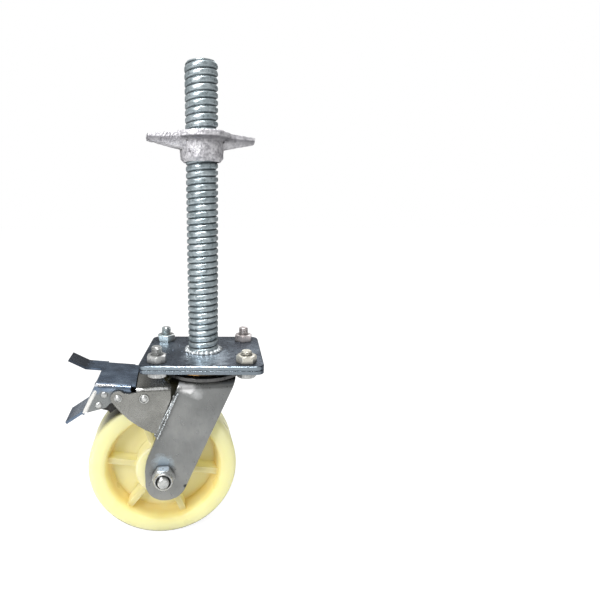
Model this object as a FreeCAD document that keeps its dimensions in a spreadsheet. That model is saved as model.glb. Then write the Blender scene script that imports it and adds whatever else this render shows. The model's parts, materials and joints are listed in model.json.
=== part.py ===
import FreeCAD
import Part
import math
import os
import Sketcher

# A scaffold castor: a braked swivel castor bolted under a plate that carries a coarse threaded stem.
# Z is up, the stem's axis is the origin line and Z = 0 is the top of the stem plate. X runs from the
# wheel (minus) to the front of the fork (plus), and Y runs along the axle. All sizes are millimetres.

vec = FreeCAD.Vector
doc = FreeCAD.newDocument("scaffold_castor")

sizes = {
    # wheel and axle
    "wheel_radius": 75,
    "wheel_side_gap": 3.5,
    "tread_round": 6,
    "rim_thickness": 17.5,
    "rim_lip": 2,
    "recess_flare": 3.5,
    "web_thickness": 9,
    "hub_radius": 28,
    "hub_bevel": 1.5,
    "hub_washer": 1.7,
    "rib_count": 6,
    "rib_width": 6.4,
    "rib_sink": 6,
    "rib_first_angle": 50,
    "axle_back": 43.3,
    "wheel_top_drop": 42.8,
    "axle_radius": 6,
    "sleeve_outer_radius": 8.5,
    "bush_outer_radius": 11,
    "washer_outer_radius": 14,
    "bolt_head_height": 7.5,
    "axle_across_flats": 19,
    "axle_nut_height": 14,
    "collar_height": 4,
    "axle_end_stick_out": 4,
    # stem
    "stem_radius": 15,
    "stem_height": 265,
    "stem_bevel": 2.5,
    "thread_pitch": 6,
    "thread_depth": 2,
    "groove_width": 2.6,
    "plain_foot": 5,
    "weld_leg": 3.6,
    # plates
    "plate_length": 116,
    "plate_depth": 100,
    "plate_corner": 8,
    "plate_turn": -7,
    "stem_plate_thickness": 4,
    "castor_plate_thickness": 4,
    "plate_edge_round": 0.8,
    "bolt_spacing_x": 84,
    "bolt_spacing_y": 71,
    "bolt_radius": 5,
    "bolt_hole_radius": 5.5,
    "bolt_across_flats": 17,
    "plate_bolt_head": 6.4,
    "plate_nut_height": 6.8,
    "bolt_stick_out": 7.7,
    "front_bolt_short_by": 3.7,
    # swivel
    "upper_race_height": 6.5,
    "upper_race_radius": 36,
    "race_sheet": 2.4,
    "race_skirt_gap": 1.2,
    "race_step": 2,
    "race_hole_radius": 20,
    "ball_circle": 29,
    "ball_radius": 3.5,
    "ball_drop": 6,
    "lower_race_radius": 40,
    "lower_race_lip": 3.5,
    "crown_drop": 11.5,
    "kingpin_radius": 7,
    "kingpin_head_radius": 11,
    "kingpin_cone": 3,
    "kingpin_stick_out": 2,
    "kingpin_nut_height": 8,
    "kingpin_washer": 2.5,
    "kingpin_washer_width": 7,
    "kingpin_across_flats": 22,
    # fork
    "fork_gap": 55,
    "fork_sheet": 5.5,
    "fork_bend": 11,
    "crown_back": 24.5,
    "crown_front": 30,
    "heel_back": 18,
    "toe_front": 15.8,
    "leg_below_axle": 29.5,
    "shoulder_above_axle": 11,
    "heel_round": 19,
    "toe_round": 21,
    "shoulder_round": 45,
    # brake
    "housing_sheet": 2.5,
    "housing_gap": 0.5,
    "housing_bend": 4,
    "housing_eye_gap": 1.5,
    "housing_front": 34,
    "housing_back": 66,
    "cheek_front_drop": 13.5,
    "cheek_depth": 52.8,
    "swivel_cut_radius": 42.5,
    "weld_gap": 2.2,
    "weld_radius": 3.4,
    "weld_root": 1.5,
    "pivot_back": 83,
    "pivot_rise": 9.4,
    "lobe_radius": 7.1,
    "pivot_pin_radius": 3,
    "pin_head": 1.8,
    "shoe_pin_back": 59.1,
    "shoe_pin_rise": 8,
    "shoe_pin_radius": 3.5,
    "shoe_pin_head_radius": 4.6,
    "pedal_sheet": 2.5,
    "pedal_bend": 4,
    "pedal_slope": 6.6,
    "pedal_front_gap": 0.8,
    "pedal_lift": 0.9,
    "pedal_notch": 4.5,
    "pedal_length": 36.5,
    "tongue_reach": 16,
    "tongue_lift": 19,
    "tongue_rise": 29,
    "tongue_start": 10,
    "skirt_slope": 63.5,
    "skirt_length": 33,
    "paddle_slope": 32.5,
    "paddle_length": 21,
    "paddle_near": 25,
    "paddle_far": 8,
    "upper_rivet_back": 13.1,
    "upper_rivet_rise": 2.9,
    "lower_rivet_back": 18.8,
    "lower_rivet_drop": 7.4,
    "rivet_radius": 2,
    "rivet_head_radius": 3.2,
    "rivet_head": 1.4,
    "cheek_sheet": 3,
    "cam_back": 8.7,
    "cam_drop": 10.8,
    "cam_radius": 4,
    "shoe_gap": 5.1,
    "shoe_sheet": 3,
    "shoe_width": 40,
    "shoe_end_angle": 128.5,
    "shoe_lead_angle": 3,
    "eye_radius": 6.3,
    # wing nut
    "nut_bottom": 181,
    "nut_height": 25.5,
    "nut_hub_wall": 4.3,
    "nut_chamfer": 3,
    "flange_width": 6.9,
    "flange_thickness": 5,
    "wing_reach": 50.5,
    "wing_turn": 11.4,
    "wing_root_width": 27,
    "wing_tip_width": 12,
    "wing_root_height": 14,
    "wing_tip_height": 5.5,
    "wing_tip_drop": 2.6,
    "wing_sink": 0.6,
    # clearances
    "running_fit": 0.06,
    "hole_play": 0.05,
    "nut_play": 0.3,
    "side_play": 0.3,
}

sheet = doc.addObject("Spreadsheet::Sheet", "Sizes")
for row, (alias, value) in enumerate(sizes.items(), start=1):
    sheet.set("A%d" % row, alias.replace("_", " "))
    sheet.set("B%d" % row, str(value))
    sheet.setAlias("B%d" % row, alias)
doc.recompute()


def size(alias):
    return float(sheet.get(alias))


# places that several pieces share
tread_top = -size("wheel_top_drop")
axle = vec(-size("axle_back"), 0, tread_top - size("wheel_radius"))
plate_bottom = -size("stem_plate_thickness") - size("castor_plate_thickness")
crown_top = plate_bottom - size("crown_drop")
crown_bottom = crown_top - size("fork_sheet")
fork_half = size("fork_gap") / 2 + size("fork_sheet")
housing_inner = fork_half + size("housing_gap")
housing_outer = housing_inner + size("housing_sheet")
pedal_outer = fork_half
pedal_inner = pedal_outer - size("pedal_sheet")
pivot = vec(-size("pivot_back"), 0, tread_top + size("pivot_rise"))
shoe_pin_centre = vec(-size("shoe_pin_back"), 0, tread_top + size("shoe_pin_rise"))
housing_top = shoe_pin_centre.z + size("eye_radius") + size("housing_eye_gap") + size("housing_sheet")
cam_centre = pivot + vec(-size("cam_back"), 0, -size("cam_drop"))
wheel_half = size("fork_gap") / 2 - size("wheel_side_gap")
hub_half = size("fork_gap") / 2 - size("hub_washer") - size("side_play")
cheek_front_z = housing_top - size("cheek_front_drop")
cheek_low_z = crown_top - size("cheek_depth")
far = 4 * size("wheel_radius")
sides = (-1, 1)


def sub_part(name, shape):
    """A finished piece whose form comes straight from the sheet's values."""
    piece = doc.addObject("Part::Feature", name)
    piece.Label = name
    piece.Shape = shape
    return piece


def body_plane(body, role):
    return next(item for item in body.Origin.OriginFeatures if item.Role == role)


def new_body(name):
    body = doc.addObject("PartDesign::Body", name)
    body.Label = name
    return body


def flat_sketch(body, role, name):
    sketch = body.newObject("Sketcher::SketchObject", name)
    sketch.AttachmentSupport = [(body_plane(body, role), "")]
    sketch.MapMode = "FlatFace"
    return sketch


def draw_polygon(sketch, points):
    """Closed outline of straight lines, its corners tied together."""
    count = len(points)
    first = sketch.GeometryCount
    for i in range(count):
        a = vec(points[i][0], points[i][1], 0)
        b = vec(points[(i + 1) % count][0], points[(i + 1) % count][1], 0)
        sketch.addGeometry(Part.LineSegment(a, b), False)
    for i in range(count):
        sketch.addConstraint(Sketcher.Constraint("Coincident", first + i, 2, first + (i + 1) % count, 1))


def draw_circle(sketch, x, y, radius_name):
    index = sketch.addGeometry(Part.Circle(vec(x, y, 0), vec(0, 0, 1), size(radius_name)), False)
    radius = sketch.addConstraint(Sketcher.Constraint("Radius", index, size(radius_name)))
    sketch.setExpression("Constraints[%d]" % radius, "Sizes.%s" % radius_name)


def revolved(name, profile):
    """A turned piece about the stem's axis from a half section of (radius, height) points."""
    body = new_body(name)
    section = flat_sketch(body, "XZ_Plane", name + "_section")
    draw_polygon(section, profile)
    turned = body.newObject("PartDesign::Revolution", name + "_turned")
    turned.Profile = section
    turned.ReferenceAxis = (section, ["V_Axis"])
    turned.Angle = 360
    return body


def corner_path(points):
    """Closed wire through (x, z, radius) corners in the XZ plane, each corner rounded by its radius."""
    count = len(points)
    edges = []
    starts, ends, middles = [], [], []
    for i in range(count):
        here = vec(points[i][0], 0, points[i][1])
        before = vec(points[i - 1][0], 0, points[i - 1][1])
        after = vec(points[(i + 1) % count][0], 0, points[(i + 1) % count][1])
        radius = points[i][2]
        to_before = (before - here).normalize()
        to_after = (after - here).normalize()
        if radius <= 0:
            starts.append(here)
            ends.append(here)
            middles.append(None)
            continue
        half = to_before.getAngle(to_after) / 2
        reach = radius / math.tan(half)
        starts.append(here + to_before * reach)
        ends.append(here + to_after * reach)
        inward = (to_before + to_after).normalize()
        middles.append(here + inward * (radius / math.sin(half) - radius))
    for i in range(count):
        if middles[i] is not None:
            edges.append(Part.Arc(starts[i], middles[i], ends[i]).toShape())
        a = ends[i]
        b = starts[(i + 1) % count]
        if (b - a).Length > 1e-6:
            edges.append(Part.LineSegment(a, b).toShape())
    return Part.Wire(edges)


def slab(points, y_from, y_to):
    """A rounded XZ outline given thickness along Y."""
    face = Part.Face(corner_path(points))
    face.translate(vec(0, y_from, 0))
    return face.extrude(vec(0, y_to - y_from, 0))


def bar(x, z, radius, y_from, y_to):
    return Part.makeCylinder(radius, y_to - y_from, vec(x, y_from, z), vec(0, 1, 0))


def drill_y(x, z, radius):
    return bar(x, z, radius, -far, far)


def drill_z(radius):
    return Part.makeCylinder(radius, 2 * far, vec(0, 0, -far))


def between_sides(half):
    """All the room nearer the middle plane than half."""
    return Part.makeBox(2 * far, 2 * half, 2 * far, vec(-far, -half, -far))


def channel(x_from, x_to, top, depth, half_width, sheet_thickness, bend):
    """A folded U of sheet, open below, with bent top edges."""
    length = x_to - x_from
    inner_half = half_width - sheet_thickness
    outer = Part.makeBox(length, 2 * half_width, depth, vec(x_from, -half_width, top - depth))
    inner = Part.makeBox(
        3 * length, 2 * inner_half, depth, vec(x_from - length, -inner_half, top - depth - sheet_thickness)
    )

    def top_edges(box, height, half):
        return [
            edge
            for edge in box.Edges
            if abs(edge.CenterOfMass.z - height) < 1e-6 and abs(edge.CenterOfMass.y) > 0.9 * half
        ]

    outer = outer.makeFillet(bend, top_edges(outer, top, half_width))
    inner_bend = max(bend - sheet_thickness, bend / 8)
    inner = inner.makeFillet(inner_bend, top_edges(inner, top - sheet_thickness, inner_half))
    return outer.cut(inner)


def hexagon(across_flats, height, z):
    radius = across_flats / math.sqrt(3)
    points = [
        vec(radius * math.cos(math.radians(60 * i + 30)), radius * math.sin(math.radians(60 * i + 30)), z)
        for i in range(6)
    ]
    prism = Part.Face(Part.makePolygon(points + points[:1])).extrude(vec(0, 0, height))
    return prism


def hex_with_bevel(across_flats, height, z, bevel_top):
    """A hexagon whose six corners are bevelled at one end, as on a nut or bolt head."""
    radius = across_flats / math.sqrt(3)
    bevel = radius * 0.12
    low = z if bevel_top else z + bevel
    turned = Part.makeCylinder(radius, height - bevel, vec(0, 0, low))
    if bevel_top:
        cone = Part.makeCone(radius, radius - 1.8 * bevel, bevel, vec(0, 0, z + height - bevel))
    else:
        cone = Part.makeCone(radius - 1.8 * bevel, radius, bevel, vec(0, 0, z))
    return hexagon(across_flats, height, z).common(turned.fuse(cone))


def along_y(shape, y, reverse=False):
    """Lays a piece made about Z down onto the axle's line, its base at y."""
    laid = shape.copy()
    laid.rotate(vec(0, 0, 0), vec(1, 0, 0), 90 if reverse else -90)
    laid.translate(vec(axle.x, y, axle.z))
    return laid


# threaded stem: a round bar with a coarse thread, shown as closed rings at the thread's pitch
def make_stem():
    radius = size("stem_radius")
    top = size("stem_height")
    bevel = size("stem_bevel")
    body = revolved(
        "threaded_stem", [(0, 0), (radius, 0), (radius, top - bevel), (radius - bevel, top), (0, top)]
    )
    low = size("plain_foot")
    half = size("groove_width") / 2
    section = flat_sketch(body, "XZ_Plane", "groove_section")
    over = 0.5
    widen = half * over / size("thread_depth")
    draw_polygon(
        section,
        [
            (radius - size("thread_depth"), low + half),
            (radius + over, low - widen),
            (radius + over, low + 2 * half + widen),
        ],
    )
    groove = body.newObject("PartDesign::Groove", "thread_groove")
    groove.Profile = section
    groove.ReferenceAxis = (section, ["V_Axis"])
    groove.Angle = 360
    doc.recompute()
    count = int((top - bevel - low - size("groove_width")) / size("thread_pitch")) + 1
    rows = body.newObject("PartDesign::LinearPattern", "thread_rows")
    rows.Originals = [groove]
    rows.Direction = (body_plane(body, "Z_Axis"), [""])
    rows.Occurrences = count
    rows.Length = (count - 1) * size("thread_pitch")
    body.Tip = rows
    return body


def make_stem_weld():
    radius = size("stem_radius")
    leg = size("weld_leg")
    near = leg * 0.38
    wide = leg * 0.84
    return revolved(
        "stem_weld",
        [(radius, 0), (radius + leg, 0), (radius + wide, near), (radius + near, wide), (radius, leg)],
    )


# the two bolted plates
def bolt_places():
    return [
        (sx * size("bolt_spacing_x") / 2, sy * size("bolt_spacing_y") / 2) for sx in sides for sy in sides
    ]


def make_plate(name, thickness_name, top, centre_hole):
    body = new_body(name)
    outline = flat_sketch(body, "XY_Plane", name + "_outline")
    half_x = size("plate_length") / 2
    half_y = size("plate_depth") / 2
    draw_polygon(outline, [(-half_x, -half_y), (half_x, -half_y), (half_x, half_y), (-half_x, half_y)])
    pad = body.newObject("PartDesign::Pad", name + "_pad")
    pad.Profile = outline
    pad.setExpression("Length", "Sizes." + thickness_name)
    doc.recompute()
    corners = [
        "Edge%d" % (i + 1)
        for i, edge in enumerate(pad.Shape.Edges)
        if abs(edge.Vertexes[0].Point.z - edge.Vertexes[-1].Point.z) > 0.5 * size(thickness_name)
    ]
    rounded = body.newObject("PartDesign::Fillet", name + "_corners")
    rounded.Base = (pad, corners)
    rounded.setExpression("Radius", "Sizes.plate_corner")
    doc.recompute()
    rims = [
        "Edge%d" % (i + 1)
        for i, edge in enumerate(rounded.Shape.Edges)
        if abs(edge.Vertexes[0].Point.z - edge.Vertexes[-1].Point.z) < 1e-6
        and abs(edge.Vertexes[0].Point.z - size(thickness_name)) < 1e-6
    ]
    rim = body.newObject("PartDesign::Chamfer", name + "_rim")
    rim.Base = (rounded, rims)
    rim.setExpression("Size", "Sizes.plate_edge_round")
    holes = flat_sketch(body, "XY_Plane", name + "_holes")
    for x, y in bolt_places():
        draw_circle(holes, x, y, "bolt_hole_radius")
    if centre_hole:
        draw_circle(holes, 0, 0, "kingpin_head_radius")
    pocket = body.newObject("PartDesign::Pocket", name + "_drilled")
    pocket.Profile = holes
    pocket.Type = "ThroughAll"
    pocket.Midplane = True
    body.Placement = FreeCAD.Placement(
        vec(0, 0, top - size(thickness_name)), FreeCAD.Rotation(vec(0, 0, 1), size("plate_turn"))
    )
    return body


def turned_with_plate(shape):
    turned = shape.copy()
    turned.rotate(vec(0, 0, 0), vec(0, 0, 1), size("plate_turn"))
    return turned


def make_plate_fasteners():
    bolts, nuts = [], []
    usual_top = size("plate_nut_height") + size("bolt_stick_out")
    head_low = plate_bottom - size("plate_bolt_head")
    flats = size("bolt_across_flats")
    radius = size("bolt_radius")
    tip = radius * 0.2
    for i, (x, y) in enumerate(bolt_places()):
        shank_top = usual_top - (size("front_bolt_short_by") if x > 0 > y else 0)
        head = hex_with_bevel(flats, size("plate_bolt_head"), head_low, False)
        shank = Part.makeCylinder(radius, shank_top - tip - plate_bottom, vec(0, 0, plate_bottom))
        end = Part.makeCone(radius, radius - tip, tip, vec(0, 0, shank_top - tip))
        bolt = head.fuse([shank, end]).removeSplitter()
        nut = hex_with_bevel(flats, size("plate_nut_height"), 0, True).cut(
            drill_z(radius + size("hole_play"))
        )
        for piece, group in ((bolt, bolts), (nut, nuts)):
            placed = piece.copy()
            placed.rotate(vec(0, 0, 0), vec(0, 0, 1), 17 * i)
            placed.translate(vec(x, y, 0))
            group.append(turned_with_plate(placed))
    sub_part("plate_bolts", Part.makeCompound(bolts))
    sub_part("plate_nuts", Part.makeCompound(nuts))


# swivel head
def ball_track(tube, z):
    """A ring of eight-sided section on the balls' circle."""
    points = []
    for i in range(8):
        turn = math.radians(45 * i + 22.5)
        points.append(vec(size("ball_circle") + tube * math.cos(turn), 0, z + tube * math.sin(turn)))
    section = Part.Face(Part.makePolygon(points + points[:1]))
    return section.revolve(vec(0, 0, 0), vec(0, 0, 1), 360)


def make_swivel():
    top = plate_bottom
    ball_z = top - size("ball_drop")
    ball = size("ball_radius")
    track = ball + size("hole_play")
    ring = size("ball_circle")
    hole = size("race_hole_radius")
    skirt = ring + ball + size("race_skirt_gap")
    upper_radius = size("upper_race_radius")
    upper_low = top - size("upper_race_height")
    step_low = upper_low + size("race_step")
    sub_part(
        "upper_race",
        Part.makeCylinder(upper_radius, top - upper_low, vec(0, 0, upper_low))
        .cut(Part.makeCylinder(skirt, far, vec(0, 0, top - size("race_sheet") - far)))
        .fuse(Part.makeCylinder(ring, top - step_low, vec(0, 0, step_low)))
        .cut(drill_z(hole))
        .cut(ball_track(track + size("side_play"), ball_z))
        .removeSplitter(),
    )

    lip = size("lower_race_lip")
    inside = hole + size("side_play")
    dish = Part.makeCylinder(upper_radius + size("side_play"), far, vec(0, 0, upper_low - size("side_play")))
    sub_part(
        "lower_race",
        Part.makeCylinder(size("lower_race_radius"), lip, vec(0, 0, crown_top))
        .cut(drill_z(inside))
        .cut(dish.cut(drill_z(skirt)))
        .cut(ball_track(track, ball_z)),
    )
    sub_part("ball_ring", ball_track(ball, ball_z))

    pin = size("kingpin_radius")
    head = size("kingpin_head_radius") - size("hole_play")
    washer_top = crown_bottom - size("side_play")
    washer_low = washer_top - size("kingpin_washer")
    nut_low = washer_low - size("kingpin_nut_height")
    pin_low = nut_low - size("kingpin_stick_out")
    tip = pin / 7
    revolved(
        "kingpin",
        [
            (0, -size("stem_plate_thickness")),
            (head, -size("stem_plate_thickness")),
            (head, plate_bottom),
            (pin, plate_bottom - size("kingpin_cone")),
            (pin, pin_low + tip),
            (pin - tip, pin_low),
            (0, pin_low),
        ],
    )
    bore = pin + size("hole_play")
    rim = bore + size("kingpin_washer_width")
    revolved(
        "kingpin_washer",
        [(bore, washer_low), (rim, washer_low), (rim, washer_top), (bore, washer_top)],
    )
    nut = hex_with_bevel(size("kingpin_across_flats"), size("kingpin_nut_height"), nut_low, False)
    sub_part("kingpin_nut", nut.cut(drill_z(bore)))


# fork: one pressed sheet, crown and two legs
def leg_outline():
    """Side of a leg, as (x, z, corner radius); the two lower rounds share the width of the foot."""
    low = axle.z - size("leg_below_axle")
    heel = axle.x - size("heel_back")
    toe = axle.x + size("toe_front")
    lean = math.atan2(size("crown_front") - toe, crown_top - low)
    rounds = size("heel_round") + size("toe_round") * math.tan(math.pi / 4 - lean / 2)
    share = min(1, 0.98 * (toe - heel) / rounds)
    return [
        (-size("crown_back"), crown_top, 0),
        (size("crown_front"), crown_top, 0),
        (toe, low, share * size("toe_round")),
        (heel, low, share * size("heel_round")),
        (heel, axle.z + size("shoulder_above_axle"), size("shoulder_round")),
    ]


def back_edge_x(z):
    """X of the legs' straight back edge at height z."""
    outline = leg_outline()
    top, shoulder = outline[0], outline[-1]
    return top[0] + (shoulder[0] - top[0]) * (z - top[1]) / (shoulder[1] - top[1])


def make_fork():
    u_shape = channel(-far, far, crown_top, far, fork_half, size("fork_sheet"), size("fork_bend"))
    fork = u_shape.common(slab(leg_outline(), -fork_half, fork_half))
    fork = fork.cut(drill_y(axle.x, axle.z, size("axle_radius") + size("hole_play")))
    fork = fork.cut(drill_z(size("kingpin_radius") + size("running_fit")))
    return sub_part("fork", fork)


def housing_side_outline():
    """Lower cheek of the brake housing: top edge under the fold, bowed lower edge, straight welded edge."""
    gap = size("weld_gap")
    lobe = size("lobe_radius")
    top = housing_top - size("housing_bend") - size("housing_sheet") / 5
    corner = -size("housing_front")
    back_corner = -size("housing_back")
    start = pivot + vec(-0.72 * lobe, 0, -0.69 * lobe)
    end = vec(back_edge_x(cheek_low_z) - gap, 0, cheek_low_z)
    span = end - start
    bow = vec(span.z, 0, -span.x).normalize() * (span.Length * 0.075)
    middle = (start + end) * 0.5 + bow
    points = [
        end,
        vec(min(back_edge_x(cheek_front_z) - gap, corner - gap / 4), 0, cheek_front_z),
        vec(corner, 0, cheek_front_z + gap),
        vec(corner, 0, top),
        vec(back_corner - 0.42 * lobe, 0, top),
        vec(back_corner - lobe, 0, top - 0.11 * lobe),
        pivot + vec(0, 0, 0.8 * lobe),
        start,
    ]
    edges = [Part.Arc(start, middle, end).toShape()]
    edges += [Part.LineSegment(a, b).toShape() for a, b in zip(points, points[1:])]
    return Part.Wire(edges)


def make_housing():
    face = Part.Face(housing_side_outline())
    face.translate(vec(0, -housing_outer, 0))
    lobe = bar(pivot.x, pivot.z, size("lobe_radius"), -housing_outer, housing_outer)
    cheeks = face.extrude(vec(0, 2 * housing_outer, 0)).fuse(lobe).cut(between_sides(housing_inner))
    fold = channel(
        -size("housing_back"),
        -size("housing_front"),
        housing_top,
        size("housing_bend") + size("housing_sheet"),
        housing_outer,
        size("housing_sheet"),
        size("housing_bend"),
    )
    housing = cheeks.fuse(fold).cut(drill_z(size("swivel_cut_radius")))
    for centre, radius in ((pivot, size("pivot_pin_radius")), (shoe_pin_centre, size("shoe_pin_radius"))):
        housing = housing.cut(drill_y(centre.x, centre.z, radius + size("hole_play")))
    return sub_part("brake_housing", housing.removeSplitter())


def make_housing_welds(fork, housing):
    """A bead down each leg's back edge, joining the housing's cheek to the leg."""
    radius = size("weld_radius")
    high = cheek_front_z - radius / 2
    low = cheek_low_z + radius / 3
    half_gap = size("weld_gap") / 2
    beads = []
    for side in sides:
        y = side * (fork_half + size("housing_gap") / 2)
        a = vec(back_edge_x(high) - half_gap, y, high)
        b = vec(back_edge_x(low) - half_gap, y, low)
        run = b - a
        bead = Part.makeCylinder(radius, run.Length, a, run).cut([fork.Shape, housing.Shape])
        bead = bead.cut(between_sides(fork_half - size("weld_root")))
        beads.append(max(bead.Solids, key=lambda solid: solid.Volume))
    return sub_part("housing_welds", Part.makeCompound(beads))


# axle group
def make_axle_group():
    radius = size("axle_radius")
    flats = size("axle_across_flats")
    tip = radius / 6
    near_end = -fork_half - size("axle_nut_height") - size("axle_end_stick_out")
    shank = bar(axle.x, axle.z, radius, near_end + tip, fork_half)
    point = Part.makeCone(radius - tip, radius, tip, vec(axle.x, near_end, axle.z), vec(0, 1, 0))
    head = along_y(hex_with_bevel(flats, size("bolt_head_height"), 0, True), fork_half)
    sub_part("axle_bolt", shank.fuse([point, head]).removeSplitter())

    hex_height = size("axle_nut_height") - size("collar_height")
    nut = hex_with_bevel(flats, hex_height, 0, True)
    nut = nut.fuse(Part.makeCylinder(0.46 * flats, size("axle_nut_height")))
    nut = nut.cut(drill_z(radius + size("hole_play")))
    recess_low = size("axle_nut_height") - size("collar_height") / 2
    nut = nut.cut(Part.makeCylinder(0.395 * flats, far, vec(0, 0, recess_low)))
    sub_part("axle_nut", along_y(nut, -fork_half, reverse=True).removeSplitter())

    half_gap = size("fork_gap") / 2
    sleeve = bar(axle.x, axle.z, size("sleeve_outer_radius"), -half_gap, half_gap)
    sub_part("axle_sleeve", sleeve.cut(drill_y(axle.x, axle.z, radius + size("hole_play"))))

    washers = []
    inner = size("sleeve_outer_radius") + size("hole_play")
    for side in sides:
        low, high = sorted((side * half_gap, side * (half_gap - size("hub_washer"))))
        washer = bar(axle.x, axle.z, size("washer_outer_radius"), low, high)
        washers.append(washer.cut(drill_y(axle.x, axle.z, inner)))
    sub_part("hub_washers", Part.makeCompound(washers))


# wheel: one moulding with a rounded tread, a thin web, six ribs on each side and a long hub
def make_wheel():
    half = wheel_half
    radius = size("wheel_radius")
    rounding = size("tread_round")
    web = size("web_thickness") / 2
    body = new_body("wheel")
    section = flat_sketch(body, "XY_Plane", "wheel_section")
    hub = size("hub_radius")
    bore = size("bush_outer_radius")
    bevel = size("hub_bevel")
    lip = size("rim_lip")
    rim = radius - size("rim_thickness")
    inner = rim - size("recess_flare")
    crown = rounding * (1 - math.sqrt(0.5))
    points = [(bore, -hub_half), (hub - bevel, -hub_half), (hub, -hub_half + bevel), (hub, -web)]
    points += [(inner, -web), (rim, -half + lip), (rim + lip, -half), (radius - rounding, -half)]
    points += [(radius - crown, -half + crown), (radius, -half + rounding)]
    points += [(x, -y) for x, y in reversed(points)]
    draw_polygon(section, points)
    turned = body.newObject("PartDesign::Revolution", "wheel_turned")
    turned.Profile = section
    turned.ReferenceAxis = (section, ["V_Axis"])
    turned.Angle = 360
    ribs = flat_sketch(body, "XZ_Plane", "rib_outline")
    rib_half = size("rib_width") / 2
    rib_in = hub - rib_half
    rib_out = inner + rib_half
    draw_polygon(ribs, [(rib_in, -rib_half), (rib_out, -rib_half), (rib_out, rib_half), (rib_in, rib_half)])
    rib = body.newObject("PartDesign::Pad", "rib_pad")
    rib.Profile = ribs
    rib.setExpression("Length", "Sizes.fork_gap - 2 * (Sizes.wheel_side_gap + Sizes.rib_sink)")
    rib.Midplane = True
    doc.recompute()
    around = body.newObject("PartDesign::PolarPattern", "rib_pattern")
    around.Originals = [rib]
    around.Axis = (body_plane(body, "Y_Axis"), [""])
    around.Angle = 360
    around.setExpression("Occurrences", "Sizes.rib_count")
    body.Tip = around
    body.Placement = FreeCAD.Placement(axle, FreeCAD.Rotation(vec(0, 1, 0), -size("rib_first_angle")))
    return body


def make_wheel_bush():
    inner = size("sleeve_outer_radius") + size("running_fit")
    bush = bar(axle.x, axle.z, size("bush_outer_radius"), -hub_half, hub_half)
    return sub_part("wheel_bush", bush.cut(drill_y(axle.x, axle.z, inner)))


# brake
def strip(points, thickness, y_from, y_to):
    """Bent sheet: a line of points on the upper face, thickened downwards, given width along Y."""
    count = len(points)
    normals = []
    for a, b in zip(points, points[1:]):
        run = (b - a).normalize()
        normals.append(vec(-run.z, 0, run.x) * (1 if run.x > 0 else -1))
    lower = []
    for i in range(count):
        if i == 0:
            offset = normals[0]
        elif i == count - 1:
            offset = normals[-1]
        else:
            blend = (normals[i - 1] + normals[i]).normalize()
            offset = blend * (1 / blend.dot(normals[i]))
        lower.append(points[i] - offset * thickness)
    outline = points + lower[::-1]
    face = Part.Face(Part.makePolygon(outline + outline[:1]))
    face.translate(vec(0, y_from, 0))
    return face.extrude(vec(0, y_to - y_from, 0))


def pedal_points():
    """Corner points of the pedal's sheet on its upper face, from the web's front end to both tips."""
    slope = math.radians(size("pedal_slope"))
    front = vec(-size("housing_back") - size("pedal_front_gap"), 0, housing_top + size("pedal_lift"))
    back = front + vec(-math.cos(slope), 0, math.sin(slope)) * size("pedal_length")
    lift = back + vec(-math.cos(slope), 0, math.sin(slope)) * size("tongue_reach")
    rise = math.radians(size("tongue_rise"))
    tip = lift + vec(-math.cos(rise), 0, math.sin(rise)) * size("tongue_lift")
    fall = math.radians(size("skirt_slope"))
    knee = back + vec(-math.cos(fall), 0, -math.sin(fall)) * size("skirt_length")
    dive = math.radians(size("paddle_slope"))
    toe = knee + vec(-math.cos(dive), 0, -math.sin(dive)) * size("paddle_length")
    return front, back, lift, tip, knee, toe


def rivet_places():
    """Centres of the two rivets in each cheek of the pedal."""
    upper = pivot + vec(-size("upper_rivet_back"), 0, size("upper_rivet_rise"))
    lower = pivot + vec(-size("lower_rivet_back"), 0, -size("lower_rivet_drop"))
    return upper, lower


def make_pedal():
    front, back, lift, tip, knee, toe = pedal_points()
    thickness = size("pedal_sheet")
    bend = size("pedal_bend")
    unit = size("lobe_radius")
    notch = size("pedal_notch")
    fold = channel(-size("pedal_length"), 0, 0, bend + thickness, pedal_outer, thickness, bend)
    corners = Part.makeBox(notch, 2 * far, far, vec(-notch, -far, -far))
    fold = fold.cut(corners.cut(between_sides(pedal_outer - bend - thickness / 2)))
    fold.rotate(vec(0, 0, 0), vec(0, 1, 0), size("pedal_slope"))
    fold.translate(front)
    drop = bend + 0.11 * unit
    cheek_front = front.x - notch
    cheek = [
        (back.x + 0.225 * unit, back.z - drop, 0),
        (cheek_front, front.z - drop + 0.085 * unit, 0),
        (cheek_front, pivot.z + 0.28 * unit, 0.42 * unit),
        (pivot.x + 0.85 * unit, pivot.z - 1.13 * unit, 0.85 * unit),
        (pivot.x - 1.06 * unit, pivot.z - 0.77 * unit, 0.42 * unit),
        (pivot.x - 1.75 * unit, pivot.z - 1.44 * unit, 0.42 * unit),
        (knee.x + 0.73 * unit, knee.z + 0.17 * unit, 0.35 * unit),
        (knee.x + 0.225 * unit, knee.z + 0.59 * unit, 0.17 * unit),
    ]
    plates = slab(cheek, -pedal_outer, pedal_outer).cut(between_sides(pedal_inner))
    split = size("tongue_start")
    skirt = strip([back, knee], thickness, -pedal_outer, split)
    paddle = strip([back, knee, toe], thickness, -size("paddle_near"), size("paddle_far"))
    root = back + (front - back) * 0.11
    tongue = strip([root, lift, tip], thickness, split, pedal_outer)
    pedal = fold.fuse([plates, skirt, paddle, tongue])
    pedal = pedal.cut(drill_y(pivot.x, pivot.z, size("pivot_pin_radius") + size("running_fit")))
    for spot in rivet_places():
        pedal = pedal.cut(drill_y(spot.x, spot.z, size("rivet_radius") + size("hole_play")))
    return sub_part("brake_pedal", pedal.removeSplitter())


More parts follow.
